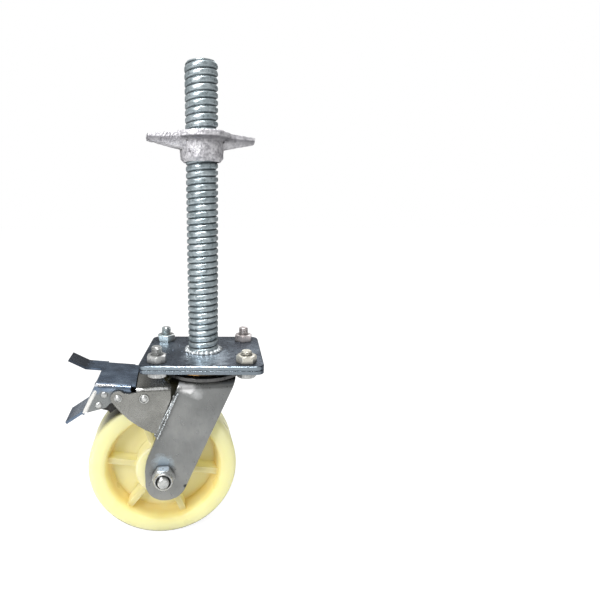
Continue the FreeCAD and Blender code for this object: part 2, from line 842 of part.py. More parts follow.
def make_cam():
    """Pressure lever inside the pedal: a cheek on each side and a round bar that bears on the shoe."""
    outer = pedal_inner
    inner = outer - size("cheek_sheet")
    upper, lower = rivet_places()
    radius = 1.15 * size("cam_radius")
    unit = size("rivet_radius")
    cheeks = []
    for side in sides:
        y_from = inner if side > 0 else -outer
        y_to = outer if side > 0 else -inner
        outline = [
            (upper.x - 1.8 * unit, upper.z + 2.1 * unit, unit),
            (upper.x + 2.5 * unit, upper.z + 1.7 * unit, unit),
            (cam_centre.x + radius, cam_centre.z + radius / 3, unit),
            (cam_centre.x + radius / 3, cam_centre.z - radius, 1.5 * unit),
            (lower.x - 1.6 * unit, lower.z - 1.7 * unit, unit),
        ]
        cheeks.append(slab(outline, y_from, y_to))
    rod = bar(cam_centre.x, cam_centre.z, size("cam_radius"), -outer, outer)
    cam = cheeks[0].fuse([cheeks[1], rod])
    for spot in (upper, lower):
        cam = cam.cut(drill_y(spot.x, spot.z, unit + size("hole_play")))
    return sub_part("brake_cam", cam.removeSplitter())


def headed_pin(centre, radius, ends, head_radii, heads):
    """A pin along Y with a low tapered head beyond each end."""
    pin = bar(centre.x, centre.z, radius, ends[0], ends[1])
    heads_made = []
    for y, way, wide, height in zip(ends, (-1, 1), head_radii, heads):
        heads_made.append(
            Part.makeCone(wide, 0.62 * wide, height, vec(centre.x, y, centre.z), vec(0, way, 0))
        )
    return pin.fuse(heads_made).removeSplitter()


def make_pins():
    inner = pedal_inner - size("cheek_sheet")
    wide = size("rivet_head_radius")
    outer_head = size("housing_gap") - size("hole_play")
    inner_head = size("rivet_head")
    rivets = []
    for spot in rivet_places():
        rivets.append(
            headed_pin(spot, size("rivet_radius"), (-pedal_outer, -inner), (wide, wide), (outer_head, inner_head))
        )
        rivets.append(
            headed_pin(spot, size("rivet_radius"), (inner, pedal_outer), (wide, wide), (inner_head, outer_head))
        )
    sub_part("pedal_rivets", Part.makeCompound(rivets))
    ends = (-housing_outer, housing_outer)
    high = (size("pin_head"), size("pin_head"))
    wide = 1.37 * size("pivot_pin_radius")
    sub_part("pedal_pin", headed_pin(pivot, size("pivot_pin_radius"), ends, (wide, wide), high))
    wide = size("shoe_pin_head_radius")
    sub_part("shoe_pin", headed_pin(shoe_pin_centre, size("shoe_pin_radius"), ends, (wide, wide), high))


def make_shoe():
    inner = size("wheel_radius") + size("shoe_gap")
    outer = inner + size("shoe_sheet")
    half = size("shoe_width") / 2
    pin_angle = math.degrees(math.atan2(shoe_pin_centre.z - axle.z, shoe_pin_centre.x - axle.x))
    start = pin_angle - size("shoe_lead_angle")
    end = size("shoe_end_angle")

    def at(radius, angle):
        turn = math.radians(angle)
        return vec(axle.x + radius * math.cos(turn), 0, axle.z + radius * math.sin(turn))

    middle = (start + end) / 2
    wire = Part.Wire(
        [
            Part.Arc(at(inner, start), at(inner, middle), at(inner, end)).toShape(),
            Part.LineSegment(at(inner, end), at(outer, end)).toShape(),
            Part.Arc(at(outer, end), at(outer, middle), at(outer, start)).toShape(),
            Part.LineSegment(at(outer, start), at(inner, start)).toShape(),
        ]
    )
    leaf = Part.Face(wire)
    leaf.translate(vec(0, -half, 0))
    leaf = leaf.extrude(vec(0, 2 * half, 0))
    eye_half = housing_inner - size("side_play")
    eye = bar(shoe_pin_centre.x, shoe_pin_centre.z, size("eye_radius"), -eye_half, eye_half)
    shoe = leaf.fuse(eye)
    hole = size("shoe_pin_radius") + size("running_fit")
    shoe = shoe.cut(drill_y(shoe_pin_centre.x, shoe_pin_centre.z, hole))
    return sub_part("brake_shoe", shoe.removeSplitter())


# wing nut: one casting, a flanged collar with two ears
def make_wing_nut():
    low = size("nut_bottom")
    top = low + size("nut_height")
    bore = size("stem_radius") + size("nut_play")
    hub = bore + size("nut_hub_wall")
    chamfer = size("nut_chamfer")
    flange = hub + size("flange_width")
    flange_low = top - size("flange_thickness")
    profile = [
        (bore, low),
        (hub - chamfer, low),
        (hub, low + chamfer),
        (hub + chamfer / 3, flange_low - chamfer),
        (flange, flange_low),
        (flange, top - chamfer / 3),
        (flange - chamfer / 3, top),
        (bore, top),
    ]
    wire = Part.makePolygon([vec(x, 0, z) for x, z in profile + profile[:1]])
    nut = Part.Face(wire).revolve(vec(0, 0, 0), vec(0, 0, 1), 360)

    def section(x, width, high, height):
        half = width / 2
        low_half = half * 0.6
        points = [
            vec(x, -half, high),
            vec(x, half, high),
            vec(x, half, high - height * 0.55),
            vec(x, low_half, high - height),
            vec(x, -low_half, high - height),
            vec(x, -half, high - height * 0.55),
        ]
        return Part.makePolygon(points + points[:1])

    root_x = (bore + hub) / 2
    root = section(root_x, size("wing_root_width"), top - size("wing_sink"), size("wing_root_height"))
    tip = section(
        size("wing_reach"), size("wing_tip_width"), top - size("wing_tip_drop"), size("wing_tip_height")
    )
    wing = Part.makeLoft([root, tip], True, True)
    for angle in (0, 180):
        ear = wing.copy()
        ear.rotate(vec(0, 0, 0), vec(0, 0, 1), size("wing_turn") + angle)
        nut = nut.fuse(ear)
    return sub_part("wing_nut", nut.cut(drill_z(bore)).removeSplitter())


make_stem()
make_stem_weld()
make_plate("stem_plate", "stem_plate_thickness", 0, False)
make_plate("castor_plate", "castor_plate_thickness", -size("stem_plate_thickness"), True)
make_plate_fasteners()
make_swivel()
fork_piece = make_fork()
housing_piece = make_housing()
make_housing_welds(fork_piece, housing_piece)
make_axle_group()
make_wheel()
make_wheel_bush()
make_pedal()
make_cam()
make_pins()
make_shoe()
make_wing_nut()
doc.recompute()

nodes = [item for item in doc.Objects if item.TypeId in ("PartDesign::Body", "Part::Feature")]
problems = []
for item in doc.Objects:
    if "Invalid" in item.State or "Error" in item.State:
        problems.append(item.Name + " failed")
for item in nodes:
    if item.Shape.isNull() or not item.Shape.isValid() or not item.Shape.Solids:
        problems.append(item.Label + " has no sound solid")
if problems:
    raise RuntimeError("; ".join(problems))

os.makedirs("parts", exist_ok=True)
for item in nodes:
    item.Shape.exportStep("parts/%s.step" % item.Label)
    print(item.Label, len(item.Shape.Solids), round(item.Shape.Volume, 1))
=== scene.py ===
import json
import math
import random
import bpy
import bmesh
from mathutils import Matrix, Vector, noise


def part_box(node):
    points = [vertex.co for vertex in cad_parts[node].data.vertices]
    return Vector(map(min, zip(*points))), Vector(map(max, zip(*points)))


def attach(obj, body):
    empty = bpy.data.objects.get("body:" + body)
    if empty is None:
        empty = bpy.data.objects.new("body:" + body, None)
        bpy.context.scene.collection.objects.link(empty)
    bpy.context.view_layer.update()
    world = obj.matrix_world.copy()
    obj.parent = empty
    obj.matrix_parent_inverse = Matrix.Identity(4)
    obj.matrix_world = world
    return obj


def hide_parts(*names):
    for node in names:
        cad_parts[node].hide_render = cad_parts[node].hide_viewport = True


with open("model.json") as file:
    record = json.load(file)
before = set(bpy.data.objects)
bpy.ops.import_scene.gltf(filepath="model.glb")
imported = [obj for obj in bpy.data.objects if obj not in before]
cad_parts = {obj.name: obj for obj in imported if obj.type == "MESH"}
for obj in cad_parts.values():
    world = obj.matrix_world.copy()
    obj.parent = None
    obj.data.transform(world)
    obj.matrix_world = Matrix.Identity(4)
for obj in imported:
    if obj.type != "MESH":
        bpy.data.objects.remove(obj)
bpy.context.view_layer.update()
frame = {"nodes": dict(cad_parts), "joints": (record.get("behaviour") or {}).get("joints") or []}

scene = bpy.context.scene
mm = 0.001
perMetre = 1000  # millimetres
rng = random.Random(11)


# places that several pieces share, in millimetres, most read from the frame
def jointPlace(name):
    joint = next(j for j in frame["joints"] if j["name"] == name)
    return Vector([round(v * perMetre, 1) for v in joint["pos_m"]])


def corners(node):
    return [[round(v * perMetre, 1) for v in corner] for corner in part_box(node)]


places = {
    "axle": jointPlace("wheel_spin"),
    "pivot": jointPlace("pedal_tilt"),
    "shoePin": jointPlace("shoe_press"),
    "plateBottom": corners("castor_plate")[0][2],
    "forkHalf": corners("fork")[1][1],
    "housingHalf": corners("brake_housing")[1][1],
    "floor": corners("wheel")[0][2],
    "plateTurn": -7,  # degrees the plates stand turned from the fork
    "boltX": 42, "boltY": 35.5,
}


# node helpers for materials
def newNode(tree, kind, inputs=None, **settings):
    made = tree.nodes.new(kind)
    for key, value in settings.items():
        setattr(made, key, value)
    for key, value in (inputs or {}).items():
        if isinstance(value, bpy.types.NodeSocket):
            tree.links.new(value, made.inputs[key])
        else:
            made.inputs[key].default_value = value
    return made


def startMaterial(name):
    material = bpy.data.materials.new(name)
    material.use_nodes = True
    tree = material.node_tree
    tree.nodes.clear()
    shader = newNode(tree, "ShaderNodeBsdfPrincipled")
    newNode(tree, "ShaderNodeOutputMaterial", {"Surface": shader.outputs["BSDF"]})
    place = newNode(tree, "ShaderNodeTexCoord").outputs["Object"]
    return material, tree, shader, place


def ramp(tree, factor, stops):
    made = newNode(tree, "ShaderNodeValToRGB", {"Fac": factor})
    band = made.color_ramp
    while len(band.elements) < len(stops):
        band.elements.new(0.5)
    for element, (place, colour) in zip(band.elements, stops):
        element.position = place
        element.color = (*colour, 1)
    return made.outputs["Color"]


def mixed(tree, factor, a, b):
    made = newNode(tree, "ShaderNodeMix", data_type="RGBA")
    for socket, value in ((made.inputs[0], factor), (made.inputs[6], a), (made.inputs[7], b)):
        if isinstance(value, bpy.types.NodeSocket):
            tree.links.new(value, socket)
        elif isinstance(value, tuple):
            socket.default_value = (*value, 1)
        else:
            socket.default_value = value
    return made.outputs[2]


def scaled(tree, place, stretch):
    return newNode(tree, "ShaderNodeMapping", {"Vector": place, "Scale": stretch}).outputs["Vector"]


def cloud(tree, place, scale, detail, rough=0.55):
    settings = {"Vector": place, "Scale": scale, "Detail": detail, "Roughness": rough}
    return newNode(tree, "ShaderNodeTexNoise", settings).outputs["Fac"]


def spread(tree, value, low, high, toLow, toHigh):
    settings = {"Value": value, "From Min": low, "From Max": high, "To Min": toLow, "To Max": toHigh}
    return newNode(tree, "ShaderNodeMapRange", settings).outputs["Result"]


def maths(tree, operation, a, b=0.0):
    return newNode(tree, "ShaderNodeMath", {0: a, 1: b}, operation=operation).outputs[0]


def times(tree, a, b):
    return maths(tree, "MULTIPLY", a, b)


def vectorMath(tree, operation, a, b, output=0):
    return newNode(tree, "ShaderNodeVectorMath", {0: a, 1: b}, operation=operation).outputs[output]


def lengthOf(tree, vector):
    return newNode(tree, "ShaderNodeVectorMath", {0: vector}, operation="LENGTH").outputs["Value"]


def axisOf(tree, place, axis):
    return newNode(tree, "ShaderNodeSeparateXYZ", {"Vector": place}).outputs[axis]


def litShare(tree, reach):
    settings = {"Distance": reach * mm}
    return newNode(tree, "ShaderNodeAmbientOcclusion", settings, samples=8).outputs["AO"]


def bumped(tree, shader, height, strength, distance):
    made = newNode(tree, "ShaderNodeBump", {"Height": height, "Strength": strength, "Distance": distance})
    tree.links.new(made.outputs["Normal"], shader.inputs["Normal"])


# distance from a point, each axis weighed; points are in millimetres and distances in metres
def distanceFrom(tree, place, centre, weights):
    moved = vectorMath(tree, "SUBTRACT", place, tuple(c * mm for c in centre))
    return lengthOf(tree, vectorMath(tree, "MULTIPLY", moved, weights))


# distance from the straight line between two points
def distanceAlong(tree, place, start, end):
    start = Vector(start) * mm
    line = Vector(end) * mm - start
    away = vectorMath(tree, "SUBTRACT", place, tuple(start))
    share = vectorMath(tree, "DOT_PRODUCT", away, tuple(line / line.length_squared), "Value")
    share = newNode(tree, "ShaderNodeClamp", {"Value": share}).outputs[0]
    settings = {0: tuple(line), "Scale": share}
    nearest = newNode(tree, "ShaderNodeVectorMath", settings, operation="SCALE").outputs[0]
    return lengthOf(tree, vectorMath(tree, "SUBTRACT", away, nearest))


# plated or bare metal: clouded tone, fine grain and thin scratches, with painted highlights, reflections and
# shade where given
metalLook = {
    "cloudScale": 45.0, "grainScale": 420.0, "grainStretch": (1.0, 1.0, 1.0), "grainShare": 0.45,
    "scratchScale": 60.0, "scratchStretch": (1.0, 1.0, 0.12), "scratchShare": 0.12, "scratchWidth": 0.03,
    "dark": (0.30, 0.31, 0.32), "mid": (0.42, 0.43, 0.44), "light": (0.60, 0.61, 0.62),
    "roughLow": 0.28, "roughHigh": 0.5, "metallic": 0.85, "bump": 0.15, "bumpDepth": 0.0002,
    "patches": (),  # painted highlights, reflections and shade, and tints: centre, weight of each axis, full and outer radius, colour
    "streaks": (),  # painted highlight lines: start, end, full and outer radius, colour
    "inside": None,  # half width and top of a folded sheet's inner sides, where shade is painted
    "root": None,  # radius of thread root and of clear flank, top, colour of the painted shade in the roots
    "shelf": None,  # low and high end and inner radius of the painted shade band under a flange
    # painted shade and dirt: darker where ambient occlusion finds crevices; amount, reach, lit range, colour
    "grime": 0.7, "grimeReach": 4.0, "grimeLit": (0.35, 0.95), "grimeTint": (0.02, 0.02, 0.02),
}
cloudRange = (0.3, 0.7)  # where most values of a noise texture lie
tintAndPaintedLightSizes = {
    "ragScale": 170.0, "patchRag": 0.2, "patchShare": 0.9, "streakRag": 0.3,
    "insideShadeShare": 0.85, "insideFade": 0.8, "insideShadeTint": (0.03, 0.03, 0.03),
    "rootShadeShare": 0.9, "shelfShadeShare": 0.75,
}


# painted highlights, reflections and shade, and tints, ragged at their edges
def paintedLightAndTints(tree, place, colour, look):
    rag = cloud(tree, place, tintAndPaintedLightSizes["ragScale"], 3.0)

    def paint(colour, away, inner, outer, ragged, share, tint):
        wander = spread(tree, rag, *cloudRange, -ragged * outer * mm, ragged * outer * mm)
        away = maths(tree, "ADD", away, wander)
        return mixed(tree, spread(tree, away, inner * mm, outer * mm, share, 0.0), colour, tint)

    for centre, weights, inner, outer, tint in look["patches"]:
        away = distanceFrom(tree, place, centre, weights)
        colour = paint(colour, away, inner, outer, tintAndPaintedLightSizes["patchRag"], tintAndPaintedLightSizes["patchShare"], tint)
    for start, end, inner, outer, tint in look["streaks"]:
        away = distanceAlong(tree, place, start, end)
        colour = paint(colour, away, inner, outer, tintAndPaintedLightSizes["streakRag"], 1.0, tint)
    return colour


# painted shade on the inner sides of a folded sheet
def paintedShadeInside(tree, place, colour, half, top):
    across = maths(tree, "ABSOLUTE", axisOf(tree, place, "Y"))
    share = times(
        tree, spread(tree, across, half * mm, (half + tintAndPaintedLightSizes["insideFade"]) * mm, tintAndPaintedLightSizes["insideShadeShare"], 0.0),
        spread(tree, axisOf(tree, place, "Z"), (top - 1) * mm, top * mm, 1.0, 0.0))
    return mixed(tree, share, colour, tintAndPaintedLightSizes["insideShadeTint"])


# painted shade in the thread roots
def paintedRootShade(tree, place, colour, deep, clear, top, tint):
    away = distanceFrom(tree, place, (0, 0, 0), (1, 1, 0))
    share = times(
        tree, spread(tree, away, deep * mm, clear * mm, tintAndPaintedLightSizes["rootShadeShare"], 0.0),
        spread(tree, axisOf(tree, place, "Z"), (top - 1.5) * mm, (top - 0.5) * mm, 1.0, 0.0))
    return mixed(tree, share, colour, tint)


# painted shade in a band under a flange
def paintedShadeUnder(tree, place, colour, low, high, inner, tint):
    away = distanceFrom(tree, place, (0, 0, 0), (1, 1, 0))
    height = axisOf(tree, place, "Z")
    share = times(
        tree, spread(tree, height, low * mm, (high - 1) * mm, 0.0, tintAndPaintedLightSizes["shelfShadeShare"]),
        spread(tree, height, high * mm, (high + 0.5) * mm, 1.0, 0.0))
    share = times(tree, share, spread(tree, away, inner * mm, (inner + 1) * mm, 0.0, 1.0))
    return mixed(tree, share, colour, tint)


def metal(name, **changes):
    look = {**metalLook, **changes}
    material, tree, shader, place = startMaterial(name)
    clouds = cloud(tree, place, look["cloudScale"], 3.0)
    grain = cloud(tree, scaled(tree, place, look["grainStretch"]), look["grainScale"], 5.0, 0.6)
    settings = {"Vector": scaled(tree, place, look["scratchStretch"]), "Scale": look["scratchScale"]}
    scratch = newNode(tree, "ShaderNodeTexVoronoi", settings, feature="DISTANCE_TO_EDGE").outputs["Distance"]
    scratch = spread(tree, scratch, 0.0, look["scratchWidth"], look["scratchShare"], 0.0)
    tone = mixed(tree, look["grainShare"], clouds, grain)
    colour = ramp(tree, tone, [(0.32, look["dark"]), (0.5, look["mid"]), (0.68, look["light"])])
    colour = mixed(tree, scratch, colour, look["light"])
    # painted highlights, reflections and shade, and tints, in patches and lines
    if look["patches"] or look["streaks"]:
        colour = paintedLightAndTints(tree, place, colour, look)
    # painted shade inside folded sheets
    if look["inside"]:
        colour = paintedShadeInside(tree, place, colour, *look["inside"])
    # painted shade in thread roots
    if look["root"]:
        colour = paintedRootShade(tree, place, colour, *look["root"])
    # painted shade under a flange
    if look["shelf"]:
        colour = paintedShadeUnder(tree, place, colour, *look["shelf"], look["dark"])
    # painted shade and dirt in crevices, from ambient occlusion
    grime = spread(tree, litShare(tree, look["grimeReach"]), *look["grimeLit"], look["grime"], 0.0)
    colour = mixed(tree, grime, colour, look["grimeTint"])
    tree.links.new(colour, shader.inputs["Base Color"])
    rough = spread(tree, grain, *cloudRange, look["roughLow"], look["roughHigh"])
    tree.links.new(rough, shader.inputs["Roughness"])
    shader.inputs["Metallic"].default_value = look["metallic"]
    bumped(tree, shader, grain, look["bump"], look["bumpDepth"])
    return material


finishes = {
    "stem": metal(
        "stemZinc", dark=(0.28, 0.345, 0.365), mid=(0.47, 0.545, 0.575), light=(0.74, 0.81, 0.83),
        cloudScale=90.0, grainScale=260.0, roughLow=0.22, roughHigh=0.45, metallic=0.72,
        # painted shade in the thread roots
        bump=0.3, bumpDepth=0.0003, root=(13.2, 14.3, 265, (0.055, 0.070, 0.080)), grime=0.4),
    "weld": metal(
        "weldBead", dark=(0.40, 0.42, 0.43), mid=(0.62, 0.66, 0.68), light=(0.88, 0.92, 0.94),
        cloudScale=220.0, roughLow=0.18, roughHigh=0.4, bump=0.3, bumpDepth=0.0004, metallic=0.6, grime=0.5),
    # the plates' dark tone partly stands in for a dark reflection
    "plate": metal(
        "plateZinc", dark=(0.045, 0.057, 0.076), mid=(0.088, 0.110, 0.145), light=(0.20, 0.24, 0.29),
        cloudScale=30.0, grainScale=300.0, grainShare=0.16, scratchShare=0.16, scratchScale=45.0,
        scratchStretch=(1.0, 0.25, 1.0), roughLow=0.24, roughHigh=0.34, metallic=0.82, bump=0.015,
        # painted highlights along the front edges of both plates
        streaks=(((-62, -43.2, -2), (50, -56.6, -2), 1.7, 2.3, (0.29, 0.345, 0.39)),
                 ((-62, -43.2, -6), (50, -56.6, -6), 1.7, 2.3, (0.25, 0.295, 0.335))),
        # painted reflections: a pale zone from the stem's foot to the front, and lighter patches on the front
        # edges
        patches=(((1, -19, 0), (1.0, 0.55, 1.0), 9, 25, (0.60, 0.69, 0.78)),
                 ((-52, -52, -6), (0.5, 1.0, 2.0), 2, 11, (0.50, 0.45, 0.37)),
                 ((4, -50, -6), (0.35, 1.0, 2.5), 3, 12, (0.34, 0.38, 0.42)))),
    "fastener": metal(
        "fastenerZinc", dark=(0.36, 0.37, 0.37), mid=(0.60, 0.61, 0.60), light=(0.86, 0.87, 0.85),
        cloudScale=120.0, grainShare=0.25, roughLow=0.24, roughHigh=0.38, metallic=0.7, bump=0.03, grime=0.75,
        patches=(((-46, 30, 5), (1, 1, 1), 10, 18, (0.66, 0.78, 0.80)),
                 ((46, 30, 5), (1, 1, 1), 10, 18, (0.84, 0.77, 0.76)),
                 ((38, -40, 5), (1, 1, 1), 10, 18, (0.80, 0.77, 0.67)),
                 # painted highlight on the axle nut's top flat
                 ((-43, -38, -107.5), (1, 1, 2.5), 5, 9, (0.80, 0.90, 1.0)))),
    # painted shade: the gold race made dark where it sits in the gap, with a painted orange glint at the
    # front left
    "race": metal(
        "raceGoldPaintedShade", dark=(0.06, 0.05, 0.04), mid=(0.12, 0.09, 0.06), light=(0.22, 0.17, 0.11),
        cloudScale=80.0, roughLow=0.2, roughHigh=0.4, metallic=0.85,
        patches=(((-17, -34, -14), (0.8, 0.5, 1.0), 4, 10, (0.95, 0.55, 0.20)),)),
    "steel": metal(
        "bearingSteel", dark=(0.08, 0.08, 0.08), mid=(0.16, 0.16, 0.16), light=(0.32, 0.32, 0.32),
        roughLow=0.2, roughHigh=0.4, metallic=0.9),
    # painted shade: a darker copy of the fork's zinc for the lower race
    "ring": metal(
        "raceZincPaintedShade", dark=(0.08, 0.08, 0.08), mid=(0.15, 0.15, 0.148), light=(0.26, 0.26, 0.255),
        roughLow=0.24, roughHigh=0.4, metallic=0.85, bump=0.04),
    "fork": metal(
        "forkZinc", dark=(0.225, 0.232, 0.23), mid=(0.295, 0.302, 0.298), light=(0.39, 0.392, 0.384),
        cloudScale=22.0, grainScale=350.0, grainStretch=(1.0, 1.0, 0.5), grainShare=0.2, scratchShare=0.08,
        # painted shade inside the legs
        roughLow=0.26, roughHigh=0.34, metallic=0.8, bump=0.02, inside=(27.7, -20),
        grime=0.85, grimeReach=6.0,
        # painted reflection on the front leg beside the axle nut, then a small dark spot low on the leg
        patches=(((-43, -33, -106), (1.0, 1.0, 1.0), 7, 11.5, (0.40, 0.46, 0.50)),
                 ((-21.5, -33, -132), (1.0, 1.0, 1.0), 1.1, 2.4, (0.03, 0.03, 0.03))),
        # painted highlights on the upper left bend of the front leg
        streaks=(((-26, -33, -22), (-9, -33, -33), 1.0, 7.5, (0.56, 0.57, 0.57)),
                 ((-27, -33, -23), (-15, -33, -29), 2.2, 5.4, (1.0, 1.0, 1.0)))),
    "housing": metal(
        "housingZinc", dark=(0.23, 0.23, 0.215), mid=(0.31, 0.31, 0.29), light=(0.40, 0.40, 0.38),
        cloudScale=30.0, grainScale=350.0, grainShare=0.12, roughLow=0.22, roughHigh=0.32, metallic=0.8,
        # painted shade inside, and a painted highlight along the near bend
        bump=0.02, grime=0.4, inside=(33.2, -26),
        streaks=(((-71, -35, -25.6), (-38, -35, -25.6), 0.9, 2.0, (1.0, 1.0, 0.98)),)),
    "pedal": metal(
        "pedalZinc", dark=(0.095, 0.125, 0.175), mid=(0.16, 0.215, 0.30), light=(0.30, 0.38, 0.49),
        cloudScale=45.0, grainScale=350.0, grainShare=0.14, roughLow=0.2, roughHigh=0.3, metallic=0.85,
        bump=0.02,
        # painted light on the near cheek, and a dark patch at the far end of the pedal
        patches=(((-99.5, -33, -41), (0.9, 3.0, 1.0), 12, 16, (0.285, 0.295, 0.285)),
                 ((-130, 21, -12), (1.0, 0.5, 1.0), 12, 18, (0.03, 0.035, 0.045))),
        # painted highlights along the near bend and the cheek's left edge
        streaks=(((-104, -32, -20.8), (-73, -32, -20.8), 0.9, 2.0, (1.0, 1.0, 1.0)),
                 ((-104.5, -33, -27), (-115.5, -33, -47), 0.8, 2.4, (0.95, 0.94, 0.90)))),
    "bush": metal(
        "bushSteel", dark=(0.02, 0.02, 0.02), mid=(0.045, 0.044, 0.042), light=(0.10, 0.10, 0.095),
        roughLow=0.25, roughHigh=0.45, metallic=0.9),
    "cast": metal(
        "galvanisedCast", dark=(0.22, 0.215, 0.235), mid=(0.68, 0.668, 0.70), light=(0.97, 0.96, 0.975),
        cloudScale=120.0, grainScale=420.0, grainShare=0.5, scratchShare=0.0,
        roughLow=0.28, roughHigh=0.55, metallic=0.4, bump=0.8, bumpDepth=0.0008, grime=0.95, grimeReach=14.0,
        # painted shade under the flange
        shelf=(196, 201.3, 19.4)),
}


# moulded nylon, cream and slightly clear, yellower in the recess and amber where the recess turns out
nylonLook = {
    "stops": [
        (0.30, (0.78, 0.74, 0.42)), (0.42, (0.71, 0.65, 0.36)), (0.62, (0.73, 0.67, 0.37)),
        (0.69, (0.75, 0.60, 0.22)), (0.735, (0.79, 0.72, 0.34)), (0.80, (0.80, 0.765, 0.40)),
        (0.95, (0.79, 0.755, 0.41))],
    "rampRadius": 80, "cloudScale": 26.0, "cloudWander": 2, "bump": 0.08, "bumpDepth": 0.0006,
    "speckScale": 900.0, "speckShare": 0.08, "speckTint": (0.66, 0.57, 0.32),
    "ribFrom": 28.5, "ribTo": 57, "ribProud": (10, 18), "ribShare": 0.40, "ribTint": (0.30, 0.26, 0.12),
    "dustAndShadeReach": 45, "dustAndShadeFrom": 71, "dustAndShadeLit": (0.36, 0.74), "dustAndShadeShare": 0.96,
    "dustAndShadeTint": (0.05, 0.045, 0.03),
    "roughLow": 0.26, "roughHigh": 0.4, "glow": 0.14,
    "depth": 0.9, "depthColour": (1.0, 1.0, 0.6), "depthScale": 0.03,
}


def nylonFinish():
    look = nylonLook
    material, tree, shader, place = startMaterial("wheelNylon")
    radius = distanceFrom(tree, place, places["axle"], (1, 0, 1))
    clouds = cloud(tree, place, look["cloudScale"], 3.0)
    grain = cloud(tree, place, look["speckScale"], 3.0)
    wander = spread(tree, clouds, *cloudRange, -look["cloudWander"] * mm, look["cloudWander"] * mm)
    tone = maths(tree, "ADD", radius, wander)
    colour = ramp(tree, spread(tree, tone, 0.0, look["rampRadius"] * mm, 0.0, 1.0), look["stops"])
    specks = spread(tree, grain, 0.45, 0.8, 0.0, look["speckShare"])
    colour = mixed(tree, specks, colour, look["speckTint"])
    # the ribs' fronts show less light through them
    across = maths(tree, "ABSOLUTE", axisOf(tree, place, "Y"))
    low, high = look["ribProud"]
    past = spread(tree, radius, look["ribFrom"] * mm, (look["ribFrom"] + 1.5) * mm, 0.0, 1.0)
    short = spread(tree, radius, (look["ribTo"] - 2) * mm, look["ribTo"] * mm, 1.0, 0.0)
    proud = times(tree, spread(tree, across, low * mm, high * mm, 0.0, look["ribShare"]), short)
    colour = mixed(tree, times(tree, proud, past), colour, look["ribTint"])
    # painted shade and dust on the tread where little light reaches it
    dustAndShade = times(
        tree, spread(tree, litShare(tree, look["dustAndShadeReach"]), *look["dustAndShadeLit"], look["dustAndShadeShare"], 0.0),
        spread(tree, radius, look["dustAndShadeFrom"] * mm, (look["dustAndShadeFrom"] + 2.5) * mm, 0.0, 1.0))
    colour = mixed(tree, dustAndShade, colour, look["dustAndShadeTint"])
    tree.links.new(colour, shader.inputs["Base Color"])
    # painted light: a faint glow in the nylon's own colour stands in for light through it
    tree.links.new(colour, shader.inputs["Emission Color"])
    rough = spread(tree, clouds, *cloudRange, look["roughLow"], look["roughHigh"])
    tree.links.new(rough, shader.inputs["Roughness"])
    shader.inputs["Emission Strength"].default_value = look["glow"]
    shader.inputs["Subsurface Weight"].default_value = look["depth"]
    shader.inputs["Subsurface Radius"].default_value = look["depthColour"]
    shader.inputs["Subsurface Scale"].default_value = look["depthScale"]
    bumped(tree, shader, clouds, look["bump"], look["bumpDepth"])
    return material


finishes["nylon"] = nylonFinish()
slots = {  # the record's material slot that goes with each finish
    "stem": "stem_zinc", "weld": "weld_bead", "plate": "plate_zinc", "fastener": "fastener_zinc",
    "race": "race_gold", "ring": "fork_zinc", "fork": "fork_zinc", "housing": "housing_zinc",
    "pedal": "pedal_zinc", "bush": "bush_steel", "cast": "galvanised_cast", "nylon": "wheel_nylon",
}
print("materials done")


# mesh helpers; a bmesh is in millimetres until keepPiece writes it in metres
skinSizes = {
    "mergeWithin": 0.002, "solidMerge": 0.003, "threadMerge": 0.005,  # doubles closer than this become one
    "flatWithin": 1.5,  # degrees
    "coarseScale": 0.17, "fineScale": 0.55,
}


def breakEdges(piece, width, segments, angle):
    edge = piece.modifiers.new("edges", "BEVEL")
    edge.width = width * mm
    edge.segments = segments
    edge.limit_method = "ANGLE"
    edge.angle_limit = math.radians(angle)
    edge.harden_normals = True


def keepPiece(bm, name, body, finish, replaced=(), slotName=None, bevel=0.0, angle=35, smooth=40):
    bmesh.ops.remove_doubles(bm, verts=bm.verts, dist=skinSizes["mergeWithin"])
    bmesh.ops.recalc_face_normals(bm, faces=bm.faces)
    bmesh.ops.scale(bm, vec=(mm, mm, mm), verts=bm.verts)
    mesh = bpy.data.meshes.new(name)
    bm.to_mesh(mesh)
    bm.free()
    mesh.shade_smooth()
    mesh.set_sharp_from_angle(angle=math.radians(smooth))
    mesh.materials.append(finishes[finish])
    piece = bpy.data.objects.new(name, mesh)
    scene.collection.objects.link(piece)
    if bevel:
        breakEdges(piece, bevel, 2, angle)
    slotName = slotName or slots[finish]
    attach(piece, body)
    if replaced:
        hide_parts(*replaced)
    return piece


def bakeModifiers(piece):
    graph = bpy.context.evaluated_depsgraph_get()
    plain = bpy.data.meshes.new_from_object(piece.evaluated_get(graph))
    piece.modifiers.clear()
    old = piece.data
    piece.data = plain
    bpy.data.meshes.remove(old)


# overlapping shapes run together into one skin
def oneBody(piece, voxel, softening):
    whole = piece.modifiers.new("oneSkin", "REMESH")
    whole.mode = "VOXEL"
    whole.voxel_size = voxel * mm
    soften = piece.modifiers.new("soften", "SMOOTH")
    soften.factor = 0.5
    soften.iterations = softening
    bakeModifiers(piece)
    piece.data.shade_smooth()


# the skin moved in and out a little, as cast or welded metal is uneven
def roughen(piece, coarse, fine):
    moves = []
    for vert in piece.data.vertices:
        spot = vert.co * perMetre
        wave = coarse * noise.noise(spot * skinSizes["coarseScale"])
        wave += fine * noise.noise(spot * skinSizes["fineScale"])
        moves.append(vert.normal * mm * wave)
    for vert, move in zip(piece.data.vertices, moves):
        vert.co += move


